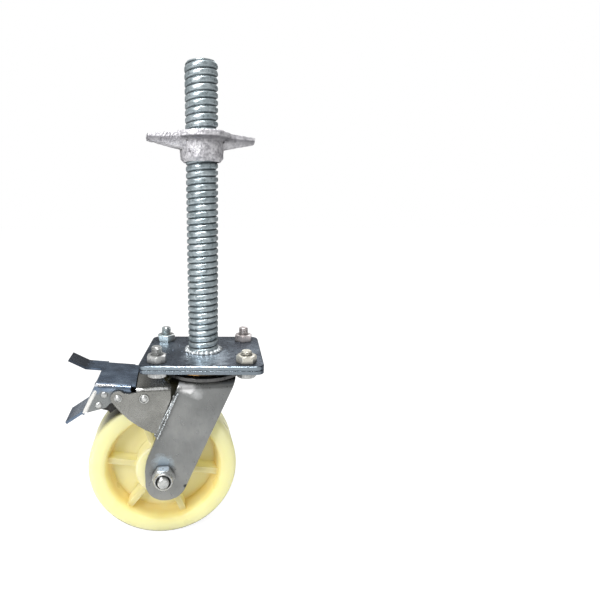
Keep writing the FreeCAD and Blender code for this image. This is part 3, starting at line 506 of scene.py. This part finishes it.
def nodeCopy(name):
    bm = bmesh.new()
    bm.from_mesh(frame["nodes"][name].data)
    bmesh.ops.scale(bm, vec=(perMetre, perMetre, perMetre), verts=bm.verts)
    bmesh.ops.remove_doubles(bm, verts=bm.verts, dist=skinSizes["solidMerge"])
    flat = math.radians(skinSizes["flatWithin"])
    bmesh.ops.dissolve_limit(bm, angle_limit=flat, verts=bm.verts, edges=bm.edges)
    return bm


def addTo(bm, other, matrix):
    bmesh.ops.transform(other, matrix=matrix, verts=other.verts)
    scratch = bpy.data.meshes.new("scratch")
    other.to_mesh(scratch)
    other.free()
    bm.from_mesh(scratch)
    bpy.data.meshes.remove(scratch)


def turned(degrees, axis):
    return Matrix.Rotation(math.radians(degrees), 4, axis)


def allOf(bm):
    return bm.verts[:] + bm.edges[:] + bm.faces[:]


# a closed line of (radius, height) points spun about the axis
def lathe(bm, points, steps=96, centre=(0, 0, 0), axis=(0, 0, 1)):
    axis = Vector(axis)
    side = Vector((1, 0, 0))
    verts = [bm.verts.new(Vector(centre) + side * r + axis * h) for r, h in points]
    edges = [bm.edges.new(pair) for pair in zip(verts, verts[1:] + verts[:1])]
    bmesh.ops.spin(
        bm, geom=verts + edges, cent=centre, axis=axis, angle=2 * math.pi, steps=steps, use_merge=True)


# right-hand thread between two heights: one line of teeth spun once round while it rises by a pitch
def screwSkin(bm, tooth, pitch, low, high, steps):
    line = []
    for turn in range(int(low // pitch) - 2, int(high // pitch) + 3):
        for r, h in tooth:
            line.append(bm.verts.new((0, -r, turn * pitch + h)))
    edges = [bm.edges.new(pair) for pair in zip(line, line[1:])]
    bmesh.ops.spin(
        bm, geom=line + edges, cent=(0, 0, 0), axis=(0, 0, 1), angle=2 * math.pi, steps=steps,
        dvec=(0, 0, pitch / steps))
    bmesh.ops.remove_doubles(bm, verts=bm.verts, dist=skinSizes["threadMerge"])
    for height, below in ((low, True), (high, False)):
        cut = bmesh.ops.bisect_plane(
            bm, geom=allOf(bm), plane_co=(0, 0, height), plane_no=(0, 0, 1),
            clear_inner=below, clear_outer=not below)
        rim = [e for e in cut["geom_cut"] if isinstance(e, bmesh.types.BMEdge)]
        bmesh.ops.holes_fill(bm, edges=rim, sides=0)


# every vertex kept within the radius that its place allows
def pullIn(bm, limitAt):
    for vert in bm.verts:
        reach = math.hypot(vert.co.x, vert.co.y)
        limit = limitAt(vert.co)
        if reach > limit:
            vert.co.x *= limit / reach
            vert.co.y *= limit / reach


# threaded stem
stemSizes = {
    "radius": 15, "top": corners("threaded_stem")[1][2], "pitch": 6, "topBevel": 2.5, "bevelSlope": 0.8,
    "unevenTop": 0.3, "topScale": 0.4, "unevenSide": 0.1, "sideScale": 0.25, "steps": 72,
    "tooth": [
        (13.2, -0.55), (13.2, -0.1), (14.3, 0.6), (14.85, 1.2), (15, 2.0), (15, 3.3), (14.85, 4.1),
        (14.3, 4.75)],
}


def makeStem():
    size = stemSizes
    bm = bmesh.new()
    screwSkin(bm, size["tooth"], size["pitch"], 0.0, size["top"], size["steps"])

    def limitAt(co):
        past = co.z - size["top"] + size["topBevel"]
        if past > 0:
            rough = size["unevenTop"] * noise.noise(co * size["topScale"])
            return size["radius"] - past * size["bevelSlope"] + rough
        return size["radius"] + size["unevenSide"] * (noise.noise(co * size["sideScale"]) - 0.5)

    pullIn(bm, limitAt)
    keepPiece(bm, "stemThread", "head", "stem", ["threaded_stem"], smooth=60)


makeStem()
print("stem done")


# wing nut: one casting
wingSizes = {
    "bore": 15.3, "bottom": corners("wing_nut")[0][2], "height": 25.5, "hub": 19.6, "chamfer": 3,
    "flange": 26.5, "flangeThick": 5, "flangeRound": 1, "neckWide": 3.2, "neckHigh": 1.2,
    "flareWide": 1, "flareHigh": 3,
    "reach": 50.2, "turn": 11.4, "rootWidth": 27, "tipWidth": 12, "rootHeight": 14, "tipHeight": 5.5,
    "rootDrop": 0.6, "tipDrop": 2.6, "keel": 0.4, "keelFrom": 0.55, "cuts": 7,
    "voxel": 0.5, "coarse": 0.35, "fine": 0.3,
}


def makeEar(size, top):
    ear = bmesh.new()
    bmesh.ops.create_cube(ear, size=1)
    bmesh.ops.subdivide_edges(ear, edges=ear.edges[:], cuts=size["cuts"], use_grid_fill=True)
    root, tip = (size["bore"] + size["hub"]) / 2, size["reach"]
    for v in ear.verts:
        along = v.co.x + 0.5
        down = 0.5 - v.co.z
        width = size["rootWidth"] + (size["tipWidth"] - size["rootWidth"]) * along
        height = size["rootHeight"] + (size["tipHeight"] - size["rootHeight"]) * along
        drop = size["rootDrop"] + (size["tipDrop"] - size["rootDrop"]) * along
        narrow = 1 - size["keel"] * max(0, (down - size["keelFrom"]) / (1 - size["keelFrom"]))
        v.co = Vector((root + (tip - root) * along, v.co.y * width * narrow, top - drop - height * down))
    return ear


def makeWingNut():
    size = wingSizes
    low, top = size["bottom"], size["bottom"] + size["height"]
    flangeLow = top - size["flangeThick"]
    bore, hub, flange = size["bore"], size["hub"], size["flange"]
    bm = bmesh.new()
    lathe(bm, [
        (bore, low), (hub - size["chamfer"], low), (hub, low + size["chamfer"]),
        (hub + size["flareWide"], flangeLow - size["flareHigh"]),
        (hub + size["neckWide"], flangeLow - size["neckHigh"]), (flange, flangeLow),
        (flange, top - size["flangeRound"]), (flange - size["flangeRound"], top), (bore, top)])
    for way in (0, 180):
        addTo(bm, makeEar(size, top), turned(size["turn"] + way, "Z"))
    piece = keepPiece(bm, "wingNutCast", "wing_nut", "cast", ["wing_nut"])
    oneBody(piece, size["voxel"], 1)
    roughen(piece, size["coarse"], size["fine"])


makeWingNut()
print("wing nut done")


# wheel: one moulding with ribs
wheelSizes = {
    "radius": 75, "halfWidth": 24, "treadRound": 6, "roundDegrees": 75, "roundSteps": 6,
    "rimInner": 57.5, "webOuter": 54, "webHalf": 4.5,
    "hub": 28, "hubHalf": 25.5, "hubRound": 1.5, "bore": 11, "steps": 144, "edge": 1.5,
    "rimLip": [(0, -3.2), (1.2, -1.1), (3.6, -0.2), (6.5, 0), (9.5, -0.2)],  # from rimInner and halfWidth
    "ribs": 6, "ribWidth": 6.4, "ribHalf": 18, "ribInto": 3, "firstRib": 50,
}


def makeRibs(size):
    bm = bmesh.new()
    inner, outer = size["hub"] - size["ribInto"], size["webOuter"] + size["ribInto"]
    for i in range(size["ribs"]):
        rib = bmesh.ops.create_cube(bm, size=1)["verts"]
        bmesh.ops.scale(bm, vec=(outer - inner, 2 * size["ribHalf"], size["ribWidth"]), verts=rib)
        bmesh.ops.translate(bm, vec=((inner + outer) / 2, 0, 0), verts=rib)
        turn = Matrix.Rotation(math.radians(-size["firstRib"] - 360 / size["ribs"] * i), 3, "Y")
        bmesh.ops.rotate(bm, verts=rib, cent=(0, 0, 0), matrix=turn)
        bmesh.ops.translate(bm, vec=places["axle"], verts=rib)
    bmesh.ops.scale(bm, vec=(mm, mm, mm), verts=bm.verts)
    mesh = bpy.data.meshes.new("ribs")
    bm.to_mesh(mesh)
    bm.free()
    ribs = bpy.data.objects.new("ribs", mesh)
    scene.collection.objects.link(ribs)
    return ribs


def makeWheel():
    size = wheelSizes
    hub, hubHalf, halfWidth, rounding = size["hub"], size["hubHalf"], size["halfWidth"], size["treadRound"]
    half = [
        (size["bore"], 0), (size["bore"], hubHalf), (hub - size["hubRound"], hubHalf),
        (hub, hubHalf - size["hubRound"]), (hub, size["webHalf"]), (size["webOuter"], size["webHalf"])]
    half += [(size["rimInner"] + wide, halfWidth + rise) for wide, rise in size["rimLip"]]
    for i in range(size["roundSteps"] + 1):
        turn = math.radians(size["roundDegrees"] * (1 - i / size["roundSteps"]))
        out = size["radius"] - rounding + rounding * math.cos(turn)
        half.append((out, halfWidth - rounding + rounding * math.sin(turn)))
    bm = bmesh.new()
    whole = half + [(r, -y) for r, y in reversed(half[1:])]
    lathe(bm, whole, size["steps"], places["axle"], (0, 1, 0))
    piece = keepPiece(bm, "wheelMoulding", "wheel", "nylon", ["wheel"])
    ribs = makeRibs(size)
    join = piece.modifiers.new("ribs", "BOOLEAN")
    join.operation = "UNION"
    join.solver = "EXACT"
    join.object = ribs
    bakeModifiers(piece)
    bpy.data.objects.remove(ribs)
    breakEdges(piece, size["edge"], 3, 38)
    piece.data.shade_smooth()


makeWheel()
print("wheel done")


# hexagon nuts and bolt heads, with the cone chamfer of turned ones on the top end
hexSizes = {"lean": 0.58, "edgeRound": 0.5, "cuts": 7, "topShare": 0.97, "boreGap": 0.05}


def hexBlock(bm, flats, height, bore):
    size = hexSizes
    bmesh.ops.create_circle(bm, segments=6, radius=flats / math.sqrt(3))
    bmesh.ops.subdivide_edges(bm, edges=bm.edges[:], cuts=size["cuts"])
    base = bm.edges[:]
    topRadius = flats / 2 * size["topShare"]

    def lift(edges, move):
        made = bmesh.ops.extrude_edge_only(bm, edges=edges)["geom"]
        for v in made:
            if isinstance(v, bmesh.types.BMVert):
                move(v)
        return [e for e in made if isinstance(e, bmesh.types.BMEdge)]

    def toCone(v):
        v.co.z = height - max(0, math.hypot(v.co.x, v.co.y) - topRadius) * size["lean"]

    def toCircle(radius, z):
        def move(v):
            reach = math.hypot(v.co.x, v.co.y)
            v.co = (v.co.x * radius / reach, v.co.y * radius / reach, z)
        return move

    rim = lift(base, toCone)
    rim = lift(rim, toCircle(topRadius, height))
    if bore:
        rim = lift(rim, toCircle(bore + size["edgeRound"], height))
        rim = lift(rim, toCircle(bore, height - size["edgeRound"]))
        rim = lift(rim, toCircle(bore, 0))
        bmesh.ops.bridge_loops(bm, edges=rim + base)
    else:
        bmesh.ops.edgeloop_fill(bm, edges=rim)
        bmesh.ops.edgeloop_fill(bm, edges=base)


def hexPart(flats, height, bore=0, z=0, upsideDown=False):
    bm = bmesh.new()
    hexBlock(bm, flats, height, bore)
    if upsideDown:
        bmesh.ops.rotate(bm, verts=bm.verts, cent=(0, 0, 0), matrix=Matrix.Rotation(math.pi, 3, "X"))
    bmesh.ops.translate(bm, vec=(0, 0, z), verts=bm.verts)
    return bm


# four bolts through both plates
boltSizes = {
    "flats": 17, "nut": 6.8, "nutEdge": 0.25, "stickOut": 7.7, "shortBy": 3.7, "head": 6.4,
    "radius": 5, "pitch": 1.5, "steps": 28, "tipBevel": 1.0, "tipSlope": 0.9, "turnEach": 17,
    "tooth": [(4.2, 0.0), (4.95, 0.55), (4.95, 0.85), (4.2, 1.4)],
}


def makePlateFasteners():
    size = boltSizes
    bolts, nuts = bmesh.new(), bmesh.new()
    corner = [(sx, sy) for sx in (-1, 1) for sy in (-1, 1)]
    for index, (sx, sy) in enumerate(corner):
        high = size["nut"] + size["stickOut"] - (size["shortBy"] if sx > 0 > sy else 0)
        spot = Matrix.Translation((sx * places["boltX"], sy * places["boltY"], 0))
        spot = turned(places["plateTurn"], "Z") @ spot @ turned(size["turnEach"] * index, "Z")
        shank = bmesh.new()
        screwSkin(shank, size["tooth"], size["pitch"], places["plateBottom"], high, size["steps"])
        pullIn(shank, lambda co: size["radius"] - max(0, co.z - high + size["tipBevel"]) * size["tipSlope"])
        addTo(bolts, shank, spot)
        addTo(bolts, hexPart(size["flats"], size["head"], z=places["plateBottom"], upsideDown=True), spot)
        addTo(nuts, hexPart(size["flats"], size["nut"], size["radius"] + hexSizes["boreGap"]), spot)
    keepPiece(bolts, "plateBolts", "head", "fastener", ["plate_bolts"], smooth=35)
    keepPiece(nuts, "plateNuts", "head", "fastener", ["plate_nuts"], bevel=size["nutEdge"], smooth=35)


makePlateFasteners()

# axle bolt from the back, with a locking nut in front
axleSizes = {
    "flats": 19, "head": 7.5, "nut": 10, "nutTurn": 30, "nutEdge": 0.25, "stickOut": 3,
    "radius": 6, "endRadius": 5.4, "pitch": 1.75, "steps": 32, "tipBevel": 0.7, "tipSlope": 0.9,
    "tooth": [(4.7, 0.0), (5.4, 0.65), (5.4, 1.0), (4.7, 1.65)], "plainBelow": -8,
    "collar": 14, "collarInner": 7.0, "collarOuter": 9.3, "collarInto": 1,
    "collarLip": [(0, 1.4), (0.5, 0.4), (1.3, 0)],  # in from the outside, down from the top
    "collarThroat": [(0.4, 0.2), (0.1, 1), (0, 3)],  # out from the inside, down from the top
}


def makeAxleNut(size, toFront):
    nut = bmesh.new()
    block = hexPart(size["flats"], size["nut"], size["radius"] + hexSizes["boreGap"])
    addTo(nut, block, toFront @ turned(size["nutTurn"], "Z"))
    low, top = size["nut"] - size["collarInto"], size["collar"]
    inner, outer = size["collarInner"], size["collarOuter"]
    profile = [(inner, low), (outer, low)]
    profile += [(outer - less, top - down) for less, down in size["collarLip"]]
    profile += [(inner + more, top - down) for more, down in size["collarThroat"]]
    collar = bmesh.new()
    lathe(collar, profile, 48)
    addTo(nut, collar, toFront)
    keepPiece(nut, "axleNut", "fork_frame", "fastener", ["axle_nut"], bevel=size["nutEdge"], smooth=35)


def makeAxleBolt(size, toFront, toBack):
    high = size["collar"] + size["stickOut"]
    shank = bmesh.new()
    screwSkin(shank, size["tooth"], size["pitch"], -2 * places["forkHalf"], high, size["steps"])
    pullIn(shank, lambda co: size["endRadius"] - max(0, co.z - high + size["tipBevel"]) * size["tipSlope"])
    for vert in shank.verts:  # the grip between the legs is plain
        reach = math.hypot(vert.co.x, vert.co.y)
        if vert.co.z < size["plainBelow"] and reach > 1:
            vert.co.x *= size["radius"] / reach
            vert.co.y *= size["radius"] / reach
    bolt = bmesh.new()
    addTo(bolt, shank, toFront)
    addTo(bolt, hexPart(size["flats"], size["head"]), toBack)
    keepPiece(bolt, "axleBolt", "fork_frame", "fastener", ["axle_bolt"], smooth=35)


def makeAxleFasteners():
    out = Vector((0, places["forkHalf"], 0))
    toFront = Matrix.Translation(places["axle"] - out) @ turned(90, "X")
    toBack = Matrix.Translation(places["axle"] + out) @ turned(-90, "X")
    makeAxleNut(axleSizes, toFront)
    makeAxleBolt(axleSizes, toFront, toBack)


makeAxleFasteners()
print("fasteners done")


# swivel races, copied from their solids with broken edges
races = {
    "upper_race": ("upperRace", "head", "race", 0.35),
    "lower_race": ("lowerRace", "fork_frame", "ring", 0.35),
}
for node, (name, body, finish, width) in races.items():
    keepPiece(nodeCopy(node), name, body, finish, [node], bevel=width, angle=32, smooth=32)
print("races done")


# weld beads: rows of overlapping drops run together
dropMesh = {"around": 14, "upDown": 8}


def drop(bm, spot, sizes, turn, axis="Z"):
    made = bmesh.ops.create_uvsphere(
        bm, u_segments=dropMesh["around"], v_segments=dropMesh["upDown"], radius=1)["verts"]
    bmesh.ops.scale(bm, vec=sizes, verts=made)
    bmesh.ops.rotate(bm, verts=made, cent=(0, 0, 0), matrix=Matrix.Rotation(turn, 3, axis))
    bmesh.ops.translate(bm, vec=spot, verts=made)


stemWeldSizes = {
    "radius": 15.8, "drops": 22, "width": 3.4, "length": 2.6, "height": 3.2, "lift": 0.4,
    "reachRange": (-0.5, 0.7), "heightRange": (0.75, 1.15), "widthRange": (0.8, 1.1),
    "voxel": 0.45, "coarse": 0.25, "fine": 0.12,
}


def makeStemWeld():
    size = stemWeldSizes
    bm = bmesh.new()
    for i in range(size["drops"]):
        turn = 2 * math.pi * i / size["drops"]
        reach = size["radius"] + rng.uniform(*size["reachRange"])
        high = size["height"] * rng.uniform(*size["heightRange"])
        wide = size["width"] * rng.uniform(*size["widthRange"])
        spot = (reach * math.cos(turn), reach * math.sin(turn), size["lift"])
        drop(bm, spot, (wide, size["length"], high), turn)
    bmesh.ops.bisect_plane(bm, geom=allOf(bm), plane_co=(0, 0, 0), plane_no=(0, 0, 1), clear_inner=True)
    bmesh.ops.holes_fill(bm, edges=[e for e in bm.edges if e.is_boundary])
    piece = keepPiece(bm, "stemWeldBead", "head", "weld", ["stem_weld"])
    oneBody(piece, size["voxel"], 2)
    roughen(piece, size["coarse"], size["fine"])


makeStemWeld()

# drops of weld thrown on the stem plate: x, y and size
spatterSizes = {
    "spots": [
        (-39, -0.4, 1.2), (-30.6, 2, 1.1), (23, -12.4, 1.0), (-21.9, -3, 0.9), (22.6, -3, 0.8),
        (-20, -9, 0.7), (19, -20, 0.6), (-8, -27, 0.6), (26, 12, 0.8), (-24, 16, 0.9), (6, 27, 0.8),
        (30, -18, 0.6)],
    "lift": 0.05, "flatness": 0.55, "widthRange": (0.8, 1.2), "turnRange": (0, 3),
}


def makeSpatter():
    size = spatterSizes
    bm = bmesh.new()
    for x, y, radius in size["spots"]:
        sizes = (radius, radius * rng.uniform(*size["widthRange"]), radius * size["flatness"])
        drop(bm, (x, y, size["lift"]), sizes, rng.uniform(*size["turnRange"]))
    keepPiece(bm, "weldSpatter", "head", "plate", slotName="weld_bead")


makeSpatter()

# the housing's welds down both legs, with lines given by their ends as x and z
legWeldSizes = {
    "bed": ((-30.6, -35.5), (-49.2, -75)), "bedDrops": 17, "bedSizes": (2.8, 2.0, 2.2), "bedOut": 0.4,
    "lines": (((-27.6, -32.5), (-47.6, -77)), ((-33.0, -40.6), (-49.6, -72.1))),
    "lineDrops": 20, "lineSizes": (0.95, 1.0, 1.5), "lineOut": 1.9,
    "sizeRange": (0.8, 1.2), "turnRange": (-0.3, 0.3), "wander": (-0.4, 0.4),
    "voxel": 0.45, "coarse": 0.25, "fine": 0.15,
}


def dropRow(bm, line, y, count, lengths):
    size = legWeldSizes
    (x0, z0), (x1, z1) = line
    lean = math.atan2(x1 - x0, z1 - z0)
    for i in range(count):
        along = i / (count - 1)
        sizes = [length * rng.uniform(*size["sizeRange"]) for length in lengths]
        turn = lean + rng.uniform(*size["turnRange"])
        spot = (x0 + (x1 - x0) * along + rng.uniform(*size["wander"]), y, z0 + (z1 - z0) * along)
        drop(bm, spot, sizes, turn, "Y")


def makeLegWelds():
    size = legWeldSizes
    bed, highlightRows = bmesh.new(), bmesh.new()
    for side in (-1, 1):
        y = side * (places["forkHalf"] + size["bedOut"])
        dropRow(bed, size["bed"], y, size["bedDrops"], size["bedSizes"])
        # painted highlights: thin rows of bright drops along both edges of each bead
        y = side * (places["forkHalf"] + size["lineOut"])
        for line in size["lines"]:
            dropRow(highlightRows, line, y, size["lineDrops"], size["lineSizes"])
    piece = keepPiece(bed, "legWeldBeds", "fork_frame", "fork", ["housing_welds"], "weld_bead")
    oneBody(piece, size["voxel"], 1)
    roughen(piece, size["coarse"], size["fine"])
    keepPiece(highlightRows, "legWeldHighlightRows", "fork_frame", "weld", smooth=180)


makeLegWelds()
print("welds done")


# pins and rivets along Y, with heads given as (radius, stand out) points
pinSizes = {
    "shank": 2.9, "shankPast": 0.2, "pole": 0.001,
    "pedal_pin": ("pedalPin", "pivot", [
        (3.5, 0.0), (3.6, 0.5), (3.2, 0.7), (2.7, 0.4), (2.3, 0.5), (1.9, 1.2), (1.1, 1.5)], 1.6),
    "shoe_pin": ("shoePin", "shoePin", [
        (4.5, 0.0), (4.6, 0.9), (4.2, 1.4), (3.5, 1.3), (3.2, 0.7), (2.9, 0.8), (2.5, 1.5), (1.4, 1.8)], 1.8),
}
rivetSizes = {
    "places": (Vector((-96.1, 0, -30.5)), Vector((-101.8, 0, -40.8))), "inner": 27.5, "outer": 33,
    "outerHead": [(3.2, -0.2), (3.2, 0.15), (2.6, 0.75), (1.3, 1.15)], "outerTop": 1.25,
    "innerHead": [(1.9, -5.4), (1.9, -0.1), (3.2, -0.1), (3.0, 0.5), (2.1, 1.2)], "innerTop": 1.4,
}


def addHead(bm, centre, y, profile, top, side):
    pole = pinSizes["pole"]
    head = bmesh.new()
    lathe(head, [(pole, profile[0][1])] + profile + [(pole, top)], 32)
    addTo(bm, head, Matrix.Translation(centre + Vector((0, y, 0))) @ turned(-90 * side, "X"))


def makePin(node):
    name, place, profile, top = pinSizes[node]
    bm = bmesh.new()
    for side in (-1, 1):
        addHead(bm, places[place], side * places["housingHalf"], profile, top, side)
    end = places["housingHalf"] + pinSizes["shankPast"]
    pole, radius = pinSizes["pole"], pinSizes["shank"]
    shank = bmesh.new()
    lathe(shank, [(pole, -end), (radius, -end), (radius, end), (pole, end)], 24)
    addTo(bm, shank, Matrix.Translation(places[place]) @ turned(90, "X"))
    keepPiece(bm, name, "fork_frame", "fastener", [node], smooth=50)


def makeRivets():
    size = rivetSizes
    bm = bmesh.new()
    for centre in size["places"]:
        for side in (-1, 1):
            addHead(bm, centre, side * size["outer"], size["outerHead"], size["outerTop"], side)
            addHead(bm, centre, side * size["inner"], size["innerHead"], size["innerTop"], -side)
    keepPiece(bm, "pedalRivets", "pedal", "fastener", ["pedal_rivets"], smooth=50)


makePin("pedal_pin")
makePin("shoe_pin")
makeRivets()
print("pins done")


# pieces that keep their solid's form, with broken edges
dressed = {
    "stem_plate": ("stemPlate", "head", "plate", 0.45),
    "castor_plate": ("castorPlate", "head", "plate", 0.45),
    "fork": ("forkSheet", "fork_frame", "fork", 0.6),
    "brake_housing": ("housingSheet", "fork_frame", "housing", 0.35),
    "brake_pedal": ("pedalSheet", "pedal", "pedal", 0.4),
    "brake_cam": ("camPlates", "pedal", "bush", 0.3),
}
for node, (name, body, finish, width) in dressed.items():
    keepPiece(nodeCopy(node), name, body, finish, [node], bevel=width, angle=32, smooth=32)
print("dressed solids done")


# solids that stay as they are, with their own finish
nodeFinishes = {
    "ball_ring": "steel", "kingpin": "fastener", "kingpin_washer": "fastener", "kingpin_nut": "fastener",
    "axle_sleeve": "bush", "hub_washers": "bush", "wheel_bush": "bush", "brake_shoe": "bush",
}
for node, finish in nodeFinishes.items():
    solid = frame["nodes"][node]
    solid.data.materials.clear()
    solid.data.materials.append(finishes[finish])
print("finishes done")


# floor and room: plain white to the camera, duller to the object
roomLook = {
    "floorHalf": 8, "floorGap": 0.2, "floorColour": (0.65, 0.65, 0.65, 1),
    "floorGlow": 1.52, "glowShare": 0.6,
    "roomLight": 0.36, "roomMirrored": 0.2, "roomSeen": 1.0, "white": (1, 1, 1, 1),
}


def seenBy(tree, kind, share=1.0):
    return times(tree, newNode(tree, "ShaderNodeLightPath").outputs[kind], share)


def eitherOf(tree, factor, a, b):
    return newNode(tree, "ShaderNodeMixShader", {0: factor, 1: a, 2: b}).outputs[0]


def makeFloor():
    look = roomLook
    bm = bmesh.new()
    bmesh.ops.create_grid(bm, x_segments=1, y_segments=1, size=look["floorHalf"])
    bmesh.ops.translate(bm, vec=(0, 0, (places["floor"] - look["floorGap"]) * mm), verts=bm.verts)
    mesh = bpy.data.meshes.new("floor")
    bm.to_mesh(mesh)
    bm.free()
    floor = bpy.data.objects.new("floor", mesh)
    scene.collection.objects.link(floor)
    pale = bpy.data.materials.new("paleFloor")
    pale.use_nodes = True
    tree = pale.node_tree
    tree.nodes.clear()
    matt = newNode(tree, "ShaderNodeBsdfDiffuse", {"Color": look["floorColour"]}).outputs[0]
    settings = {"Color": look["white"], "Strength": look["floorGlow"]}
    glow = newNode(tree, "ShaderNodeEmission", settings).outputs[0]
    seen = eitherOf(tree, seenBy(tree, "Is Camera Ray", look["glowShare"]), matt, glow)
    newNode(tree, "ShaderNodeOutputMaterial", {"Surface": seen})
    mesh.materials.append(pale)


def makeRoom():
    look = roomLook
    world = bpy.data.worlds.new("softRoom")
    scene.world = world
    world.use_nodes = True
    tree = world.node_tree
    tree.nodes.clear()
    soft, dim, plain = [
        newNode(tree, "ShaderNodeBackground", {"Color": look["white"], "Strength": look[key]}).outputs[0]
        for key in ("roomLight", "roomMirrored", "roomSeen")]
    room = eitherOf(tree, seenBy(tree, "Is Glossy Ray"), soft, dim)
    seen = eitherOf(tree, seenBy(tree, "Is Camera Ray"), room, plain)
    newNode(tree, "ShaderNodeOutputWorld", {"Surface": seen})


makeFloor()
makeRoom()

# round lamps, all aimed at one point; metres and watts
lamps = {
    "keyLamp": {"at": (-0.75, -0.95, 0.75), "size": 0.5, "power": 15.0},
    "topLamp": {"at": (-0.1, -0.28, 1.05), "size": 0.28, "power": 8.0},
    "fillLamp": {"at": (0.9, -0.8, 0.25), "size": 0.7, "power": 0.35},
    "rearLamp": {"at": (0.3, 0.9, 0.8), "size": 0.7, "power": 3.0},
}
lampAim = Vector((-0.02, 0, 0.02))
for name, look in lamps.items():
    light = bpy.data.lights.new(name, "AREA")
    light.shape = "DISK"
    light.size = look["size"]
    light.energy = look["power"]
    lamp = bpy.data.objects.new(name, light)
    lamp.location = look["at"]
    lamp.rotation_euler = (lampAim - Vector(look["at"])).to_track_quat("-Z", "Y").to_euler()
    scene.collection.objects.link(lamp)

# camera as fitted to the photograph: eye in metres, turns in radians, focal length and centre in pixels
cameraLook = {
    "eye": (-0.031929, -0.432396, 0.137848), "down": 0.228, "yaw": -0.109,
    "focal": 445.788, "centreX": 218.449, "centreY": 314.076, "frame": 600, "sensor": 36,
}


def makeCamera():
    look = cameraLook
    down, yaw, width = look["down"], look["yaw"], look["frame"]
    forward = Vector((-math.sin(yaw) * math.cos(down), math.cos(yaw) * math.cos(down), -math.sin(down)))
    right = forward.cross(Vector((0, 0, 1))).normalized()
    above = right.cross(forward)
    view = bpy.data.cameras.new("view")
    view.sensor_width = look["sensor"]
    view.lens = look["focal"] / width * look["sensor"]
    view.shift_x = (width / 2 - look["centreX"]) / width
    view.shift_y = (look["centreY"] - width / 2) / width
    view.clip_start = 0.01
    view.clip_end = 50
    camera = bpy.data.objects.new("view", view)
    turn = Matrix((right, above, -forward)).transposed().to_4x4()
    camera.matrix_world = Matrix.Translation(Vector(look["eye"])) @ turn
    scene.collection.objects.link(camera)
    scene.camera = camera


makeCamera()
scene.view_settings.view_transform = "Standard"
print("light and camera done")
